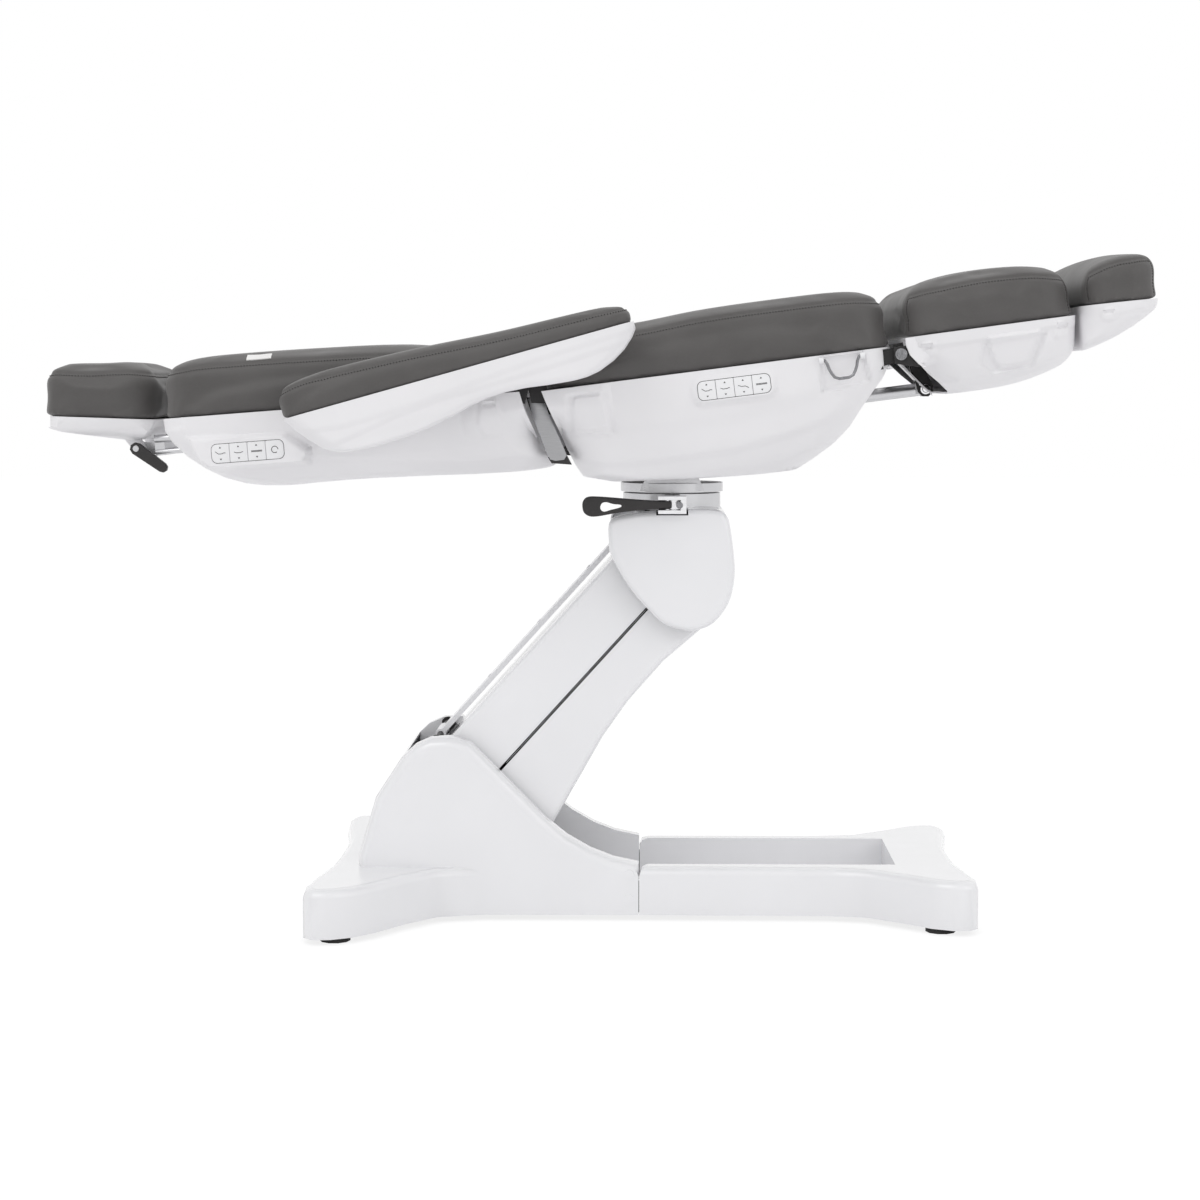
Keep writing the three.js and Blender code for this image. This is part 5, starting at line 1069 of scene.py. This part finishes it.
# How far out (|y|, mm) the pad's cup and its keys lie: rim, floor and back, then key back, face and mark
CUP = (297.1, 293.2, 291)
KEY_BACK, KEY_FACE, MARK_BACK, MARK_FACE = 294.7, 301.4, 301.2, 301.62
# The lines of a key's little bed, in mm from its middle
BED_MARKS = dict(
    head=[[(-8, 3.4), (-3, -0.6)], [(-3, -0.6), (2.5, -0.6)], [(2.5, -0.6), (5, 0.8)], [(5, 0.8), (8, 0.2)]],
    whole=[[(-7, 0.8), (-3, -0.8)], [(-3, -0.8), (2.5, -0.8)], [(2.5, -0.8), (7, 0.6)]],
    foot=[[(-8, 1.8), (-3, -0.4)], [(-3, -0.4), (3, -0.4)], [(3, -0.4), (8, -3.4)]],
    lift=[[(-8.5, 0.5), (8.5, 0.5)], [(-8.5, -0.9), (8.5, -0.9)]],
)


def key_pad(body, place, x, z, marks):
    """Four keys in a cup on the near wall of a tray, each with its mark."""
    fitting(body + "_pad_cup", [cup(
        rounded(x, z, 60.5, 19, 12), moved_outline(PAD, x, z), *[-y for y in CUP],
    )], place, BLACK, body, "black")
    for k, mark in enumerate(marks):
        name = f"{body}_key_{k + 1}"
        at = x + (k - 1.5) * 28
        left, right = (8.4 if k == 0 else 1), (8.4 if k == 3 else 1)
        outline = rounded(at, z, 13.7, 14.4, [right, left, left, right])
        fitting(name + "_cap", [slab(outline, -KEY_BACK, -KEY_FACE, 0.9)], place, KEY, name, "key", [name])
        if mark == "home":
            turn = disc(at, z, 5, 20)
            flat = [piece for a, b in zip(turn[:17], turn[1:18]) for piece in stroke([a, b], 1.0)]
        else:
            flat = [[(at - 1.7, z + up * 8), (at + 1.7, z + up * 8), (at, z + up * 10.6)] for up in (-1, 1)]
            flat += [moved_outline(piece, at, z) for line in BED_MARKS[mark] for piece in stroke(line)]
        pieces = [slab(piece, -MARK_BACK, -MARK_FACE) for piece in flat]
        fitting(name + "_mark", pieces, place, INK, name, "black")


key_pad("seat", SEAT, 104, 84.5, ("head", "whole", "foot", "lift"))
key_pad("back", BACK, -444, -103, ("head", "whole", "lift", "home"))


# ---------------------------------------------------------------- small fittings
def lug(x, half, y, z, radius, back):
    """A rounded ear standing out of the wall, with its outline in (y, z)."""
    turns = np.linspace(-math.pi / 2, math.pi / 2, 13)
    ring = [(y - radius * math.cos(a), z + radius * math.sin(a)) for a in turns]
    ring += [(back, z + radius + 1.5), (back, z - radius - 1.5)]
    return lofted([[(end, a, b) for a, b in ring] for end in (x - half, x + half)])


def cheek(shell, place, side, edge, far, ear_x, ear_z, out, relief):
    """A boss over the hinge ears that runs out into the shell's wall below and beyond them."""
    tree = BVHTree.FromObject(bpy.data.objects[shell], bpy.context.evaluated_depsgraph_get())
    z_at, x_at = [row[0] for row in edge], [row[1] for row in edge]
    levels = np.linspace(z_at[0], z_at[-1], 28)
    way = 1 if far > x_at[0] else -1
    inward = Vector((0, -side, 0))
    rings = []
    for u in (0, 0.015, *np.linspace(0.06, 1, 34)):
        outer, inner = [], []
        for z in levels:
            start = float(np.interp(z, z_at, x_at))
            x = start + (far - start) * u
            probe = x if u > 0.06 else start + way * 3
            hit = tree.ray_cast(Vector(place.points([[probe, side * 340, z]])[0]), inward, 0.14)[0]
            wall = 300 if hit is None else min(300, abs(hit.y) * 1000)
            share = ramp(z, z_at[0], ear_z) * (1 - ramp(way * x, way * ear_x, way * far))
            skin = np.array([[x, side * out, z]])
            for outline, depth, soft in relief:
                skin = press(skin, outline, depth, soft)
            y = wall - 0.7 + (abs(skin[0][1]) - wall + 0.7) * share - (0.9 if u == 0 else 0)
            outer.append((x, side * y, z))
            inner.append((x, side * min(300.4 if z > ear_z else wall - 3.5, y - 0.5), z))
        rings.append(outer + inner[::-1])
    return lofted(rings)


ears = [lug(x, 3.5, -304.5, 108, 4.6, -291) for x in (240.5, 303.5)]
ear_hole = rod_cutter((-304.5, 108), "x", 3, (235, 309))
fitting("ring_ears", ears, SEAT, WHITE_METAL, "seat", "shell", holes=[ear_hole])

for side in (-1, 1):
    label = "near" if side < 0 else "far"
    sheet = chaikin([
        (-213, 106), (-210, 80), (-202.5, 50), (-195, 19), (-190, 6),
        (-163, 6), (-170, 32), (-184, 76), (-190, 108),
    ], 1)
    fitting(f"gap_sheet_{label}", [slab(sheet, side * 258, side * 261, 0.6)], SEAT, GREY_SHEET, "seat", "silver")
    block = [(-194.5, 13), (-169, 22), (-159.5, -3), (-190, 3)]
    fitting(f"gap_block_{label}", [slab(block, side * 236, side * 257.6, 1.2)], SEAT, BLACK, "seat", "black")
    fitting(f"leg_hinge_bolt_{label}", [
        slab(disc(0, 0, 9.2), side * 284.2, side * 285.8, 0.4),
        slab(disc(0, 0, 7, 6), side * 285.8, side * 290, 0.8),
        slab(disc(0, 0, 3.2, 16), side * 290, side * 291.4, 0.5),
    ], LEG, RING, "leg", "silver")
    seat_edge = ((44, -170.4), (62, -175.2), (82.4, -180.6), (96.5, -184.8), (115.5, -189.8))
    seat_relief = [
        ([(-160, 50), (-152, 104), (-92, 103), (-84, 38)], 3.6, 5),
        ([(-152, 44), (-142, 99), (-101, 99), (-93, 34)], -4.4, 4.5),
    ]
    back_edge = ((-116, -0.6), (-96, -6.6), (-74, -13.5), (-43.8, -20))
    back_relief = [(BACK_BOSS, -4, 6), (BACK_NOTCH, 3, 3)]
    leg_edge = ((-24, 29), (-3, 13), (12, 9), (23.8, 9))
    for body, place, *form in (
        ("seat", SEAT, seat_edge, -80, -98, 92.5, 305.4, seat_relief),
        ("back", BACK, back_edge, -118, -90, -67.5, 303.4, back_relief),
        ("leg", LEG, leg_edge, 60, 28, -17, 283.4, ()),
    ):
        boss = cheek(body + "_shell_moulding", place, side, *form)
        fitting(f"{body}_hinge_cover_{label}", [boss], place, SHELL, body, "shell")
    fitting(f"leg_hinge_plate_{label}", [
        slab([(-10, 12), (9, 12), (30, -15), (26, -23), (-11, -13)], side * 276.4, side * 279, 0.5),
    ], LEG, STEEL, "leg", "frame")
    fitting(f"arm_seam_lip_{label}", [
        slab([(80, -7.85), (455, -7.85), (455, -8.15), (80, -8.15)], side * 105, side * 109.2),
    ], LIFT, GLOSS, "arm", "gloss")
    pin = (58.4, -61.6)
    split_pin = [
        [(pin[0] - 10, side * 18.2, pin[1] + 9), (pin[0] - 4, side * 17.6, pin[1] + 4),
         (pin[0] + 5, side * 17.6, pin[1] - 5), (pin[0] + 9, side * 18.4, pin[1] - 12)],
        [(pin[0] + 4.6, side * 17.6, pin[1] - 4.6), (pin[0] + 12, side * 18.2, pin[1] - 7)],
    ]
    fitting(f"leg_drive_clip_{label}", [
        slab(disc(*pin, 8.6), side * 16.3, side * 17.3, 0.3), slab(disc(*pin, 5), side * 19.02, side * 19.24, 0.1),
        *[wire(path, 0.85) for path in split_pin],
    ], LEG, CHROME, "leg", "silver")


# The head cover's outline as shares of its box
HEAD_OUTLINE = [
    (0.1, 0.945), (0.03, 0.915), (0.004, 0.86), (0.006, 0.74), (0.025, 0.62), (0.15, 0.38), (0.316, 0.172),
    (0.45, 0.05), (0.607, 0), (0.694, 0), (0.831, 0.058), (0.945, 0.209), (0.992, 0.377), (1, 0.55),
    (0.968, 0.828), (0.937, 0.942), (0.858, 0.992), (0.622, 1), (0.3, 0.98),
]


def closed_curve(points, steps=6):
    """A smooth closed curve through the points."""
    p = np.asarray(points, float)
    a, b, c, d = np.roll(p, 1, 0), p, np.roll(p, -1, 0), np.roll(p, -2, 0)
    rows = []
    for i in range(len(p)):
        for t in np.arange(steps) / steps:
            rows.append(0.5 * (
                2 * b[i] + (c[i] - a[i]) * t + (2 * a[i] - 5 * b[i] + 4 * c[i] - d[i]) * t**2
                + (3 * b[i] - a[i] - 3 * c[i] + d[i]) * t**3
            ))
    return np.array(rows)


def bun(outline, half, edge, steps=5):
    """A body with an (x, z) outline and quarter-round rims on both sides."""
    turns = np.linspace(0, math.pi / 2, steps + 1)
    rims = [(half - edge * (1 - math.sin(a)), edge * (1 - math.cos(a))) for a in turns]
    rings = [(-y, by) for y, by in rims[::-1]] + rims
    return lofted([ring_at(inset(outline, by), y) for y, by in rings])


def head_cover():
    """The smooth hood over the lift arm's head, hollow and open where the arm, swivel and lock reach in."""
    low, high = np.array([-103, -88.9]), np.array([99.6, 105.5])
    outline = closed_curve(low + np.array(HEAD_OUTLINE) * (high - low))
    points, faces = bun(outline, 150, 11)
    obj = new_piece("head_cover_moulding", HEAD.points(points), faces, GLOSS, "head", ["head_cover"], "gloss")
    face_outwards(obj.data)
    hollow = bun(inset(outline, 3), 147, 9, 3)
    arm_entry = slab([(-125, 62), (-125, -110), (88, -110), (88, -48), (0, 0)], -137, 137)
    rear = box_cutter((-125, 12), (-129, 129), (45, 112))
    swivel = lofted([[(a, b, z) for a, b in disc(0, 0, 81.5, 48)] for z in (94, 112)])
    lock_notch = box_cutter((-26, 25), (-175, -104.6), (96, 112))
    for cutter in (hollow, arm_entry, rear, swivel, lock_notch):
        cut_with(obj, HEAD, [cutter])
    shade(obj, 40)


def lock_lever():
    """The lock's rounded handle with its teardrop hole, and the bolt in the block beside it."""
    middle = np.array([0, 113])
    outline = closed_curve(middle + np.array([
        (4, 6), (-17, 6.7), (-60, 9.5), (-105, 13), (-126, 13), (-134, 7), (-135.6, -2), (-133, -12),
        (-124, -18), (-110, -18), (-85, -13.5), (-55, -9.5), (-17, -6.7), (4, -6), (6.6, 0),
    ]), 4)
    hole = closed_curve(middle + np.array([
        (-107, -3), (-104, 3), (-97, 4.5), (-86, 1.5), (-75, 0.5), (-73.5, -2.5), (-78, -5), (-90, -8),
        (-101, -11), (-106, -8),
    ]), 3)
    fitting(
        "lock_handle", [bun(outline, 7, 2.4, 3)], LOCK, BLACK, "lock_lever", "black", ["swivel_lock_lever"],
        angle=38, holes=[slab(hole, -12, 12)],
    )
    fitting("lock_bolt", [
        slab(disc(19, 113, 5.6), -11, -12, 0.3), slab(disc(19, 113, 4.4, 6), -12, -14.8, 0.6),
    ], LOCK, RING, "head", "silver")


# ---------------------------------------------------------------- covers
def head_hump(points):
    """The headrest rises a little towards the back."""
    top = ramp(points[:, 2], HEADREST_SIZE["deck"] + 20, HEADREST_SIZE["deck"] + 70)
    return 5 * ramp(points[:, 0], -90, -10) * top


ARM_COVER = dict(cap=0.003, voxel=0.004, shrink=2)
HEADREST_COVER = dict(cap=0.004, voxel=0.005, shrink=3, hump=head_hump)
BACK_SHRINK = 3.5
upholster("seat", SEAT, SEAT_SIZE)
back_cover = upholster("back", BACK, BACK_SIZE, shrink=BACK_SHRINK)
upholster("leg", LEG, LEG_SIZE, "sides")
upholster("foot", FOOT, FOOT_SIZE, "sides")
upholster("armrest_near", ARM_NEAR, ARM_SIZE, **ARM_COVER)
upholster("armrest_far", ARM_FAR, ARM_SIZE, **ARM_COVER)
upholster("headrest", HEADREST, HEADREST_SIZE, **HEADREST_COVER)


def fabric_tab(cover, place, size):
    """A blank white tab folded over the back cushion's near seam."""
    form = Cushion(size, BACK_SHRINK)
    tree = BVHTree.FromObject(cover, bpy.context.evaluated_depsgraph_get())
    across, down = 10, 7
    near = np.nonzero(form.rows[:, 3] < -0.99)[0]
    grid = []
    for level in np.linspace(1.7, 2.03, down):
        ring = form.ring(level)[near]
        ring = ring[np.argsort(ring[:, 0])]
        line = []
        for x in np.linspace(-436, -398, across):
            p = np.array([np.interp(x, ring[:, 0], ring[:, k]) for k in range(3)])
            hit = tree.find_nearest(Vector(place.points([p])[0]))
            line.append((Vector(hit[0]), Vector(hit[1])))
        grid.append(line)
    points = [p + n * off for off in (0.0016, -0.0002) for line in grid for p, n in line]
    n = across * down
    faces = []
    for r in range(down - 1):
        for c in range(across - 1):
            a = r * across + c
            faces.append((a, a + 1, a + across + 1, a + across))
            faces.append((n + a, n + a + across, n + a + across + 1, n + a + 1))
    rim = list(range(across)) + [r * across + across - 1 for r in range(1, down)]
    rim += [(down - 1) * across + c for c in range(across - 2, -1, -1)]
    rim += [r * across for r in range(down - 2, 0, -1)]
    faces += [(b, a, n + a, n + b) for a, b in zip(rim, rim[1:] + rim[:1])]
    obj = new_piece("back_cushion_tab", points, faces, TAB, "back", (), "vinyl")
    shade(obj, 50)


fabric_tab(back_cover, BACK, BACK_SIZE)
head_cover()
lock_lever()

# ---------------------------------------------------------------- the other CAD nodes
PADDED = ("seat", "back", "leg", "foot", "armrest_near", "armrest_far")
MODELLED = {"headrest_cushion", "head_cover", "swivel_lock_lever"}
MODELLED |= {f"{body}_{kind}" for body in PADDED for kind in ("cushion", "shell")}
MODELLED |= {f"{pad}_key_{k}" for pad in ("seat", "back") for k in (1, 2, 3, 4)}
SMOOTH = {
    "base_rear_cover", "base_front_cover", "lift_arm_upper_cover", "lift_arm_lower_cover", "headrest_shell",
}
for name, node in NODES.items():
    if name in MODELLED:
        continue
    if name in SMOOTH:
        soften(node, 0, 52)
    else:
        soften(node, 0.0008)

# ---------------------------------------------------------------- camera, floor and light
# How brightly the sky lights the table, how bright it looks, and how much of the floor is plain white
SKY_LIGHT, SKY_SEEN = 0.74, 1.0
FLOOR_GLOW, GLOW_SHARE = 1.14, 0.72
scene = bpy.context.scene
camera = bpy.data.objects.new("camera", bpy.data.cameras.new("camera"))
scene.collection.objects.link(camera)
# Fitted to the perspective of the photograph
camera.location = (0.09115, -4.330, 0.860)
camera.rotation_euler = (math.radians(90 - 4.684), 0, math.radians(1.048))
camera.data.lens, camera.data.sensor_width = 78.72, 36
camera.data.clip_end = 60
scene.camera = camera


def seen_directly(tree):
    """1 for camera, mirror and glass rays, 0 for light that bounces."""
    path = tree.nodes.new("ShaderNodeLightPath")
    seen = path.outputs["Is Camera Ray"]
    for kind in ("Is Glossy Ray", "Is Transmission Ray"):
        most = tree.nodes.new("ShaderNodeMath")
        most.operation = "MAXIMUM"
        tree.links.new(seen, most.inputs[0])
        tree.links.new(path.outputs[kind], most.inputs[1])
        seen = most.outputs[0]
    return seen


def mixed(tree, *sources):
    """A share of two shaders."""
    mix = tree.nodes.new("ShaderNodeMixShader")
    for source, socket in zip(sources, mix.inputs):
        tree.links.new(source, socket)
    return mix.outputs[0]


def floor_material():
    m = Nodes("floor")
    cloudy = m.noise(0.8, 3)
    m.feed("Base Color", m.colours(cloudy, (0.3, srgb(238, 238, 239)), (0.7, srgb(244, 244, 245))))
    m.put(Roughness=0.65)
    share = m.add("ShaderNodeMath", operation="MULTIPLY")
    share.inputs[1].default_value = GLOW_SHARE
    m.link(seen_directly(m.tree), share.inputs[0])
    glow = m.add("ShaderNodeEmission")
    glow.inputs["Color"].default_value = (1, 1, 1, 1)
    glow.inputs["Strength"].default_value = FLOOR_GLOW
    m.link(mixed(m.tree, share.outputs[0], m.shader.outputs[0], glow.outputs[0]), m.out.inputs[0])
    return m.material


floor_mesh = bpy.data.meshes.new("floor")
floor_mesh.from_pydata([(-20, -20, 0), (20, -20, 0), (20, 20, 0), (-20, 20, 0)], [], [(0, 1, 2, 3)])
floor = bpy.data.objects.new("floor", floor_mesh)
floor_mesh.materials.append(floor_material())
scene.collection.objects.link(floor)

world = bpy.data.worlds.new("studio")
scene.world = world
world.use_nodes = True
tree = world.node_tree
tree.nodes.clear()
skies = []
for strength in (SKY_LIGHT, SKY_SEEN):
    sky = tree.nodes.new("ShaderNodeBackground")
    sky.inputs["Color"].default_value = (1, 1, 1, 1)
    sky.inputs["Strength"].default_value = strength
    skies.append(sky.outputs[0])
out = tree.nodes.new("ShaderNodeOutputWorld")
tree.links.new(mixed(tree, seen_directly(tree), *skies), out.inputs[0])


def lamp(name, place, aim, size, power):
    data = bpy.data.lights.new(name, "AREA")
    data.shape, data.size, data.size_y, data.energy = "RECTANGLE", size[0], size[1], power
    obj = bpy.data.objects.new(name, data)
    obj.location = place
    obj.rotation_euler = (Vector(aim) - Vector(place)).to_track_quat("-Z", "Y").to_euler()
    scene.collection.objects.link(obj)


lamp("key", (-1.6, -2.6, 3.4), (0, 0, 0.6), (2.6, 1.8), 26)
lamp("fill", (2.6, -2.2, 1.8), (0.1, 0, 0.6), (1.8, 2.2), 9)
lamp("top", (0.2, 0.6, 3.8), (0.1, 0, 0.7), (3.2, 2.0), 14)

scene.view_settings.view_transform = "Standard"
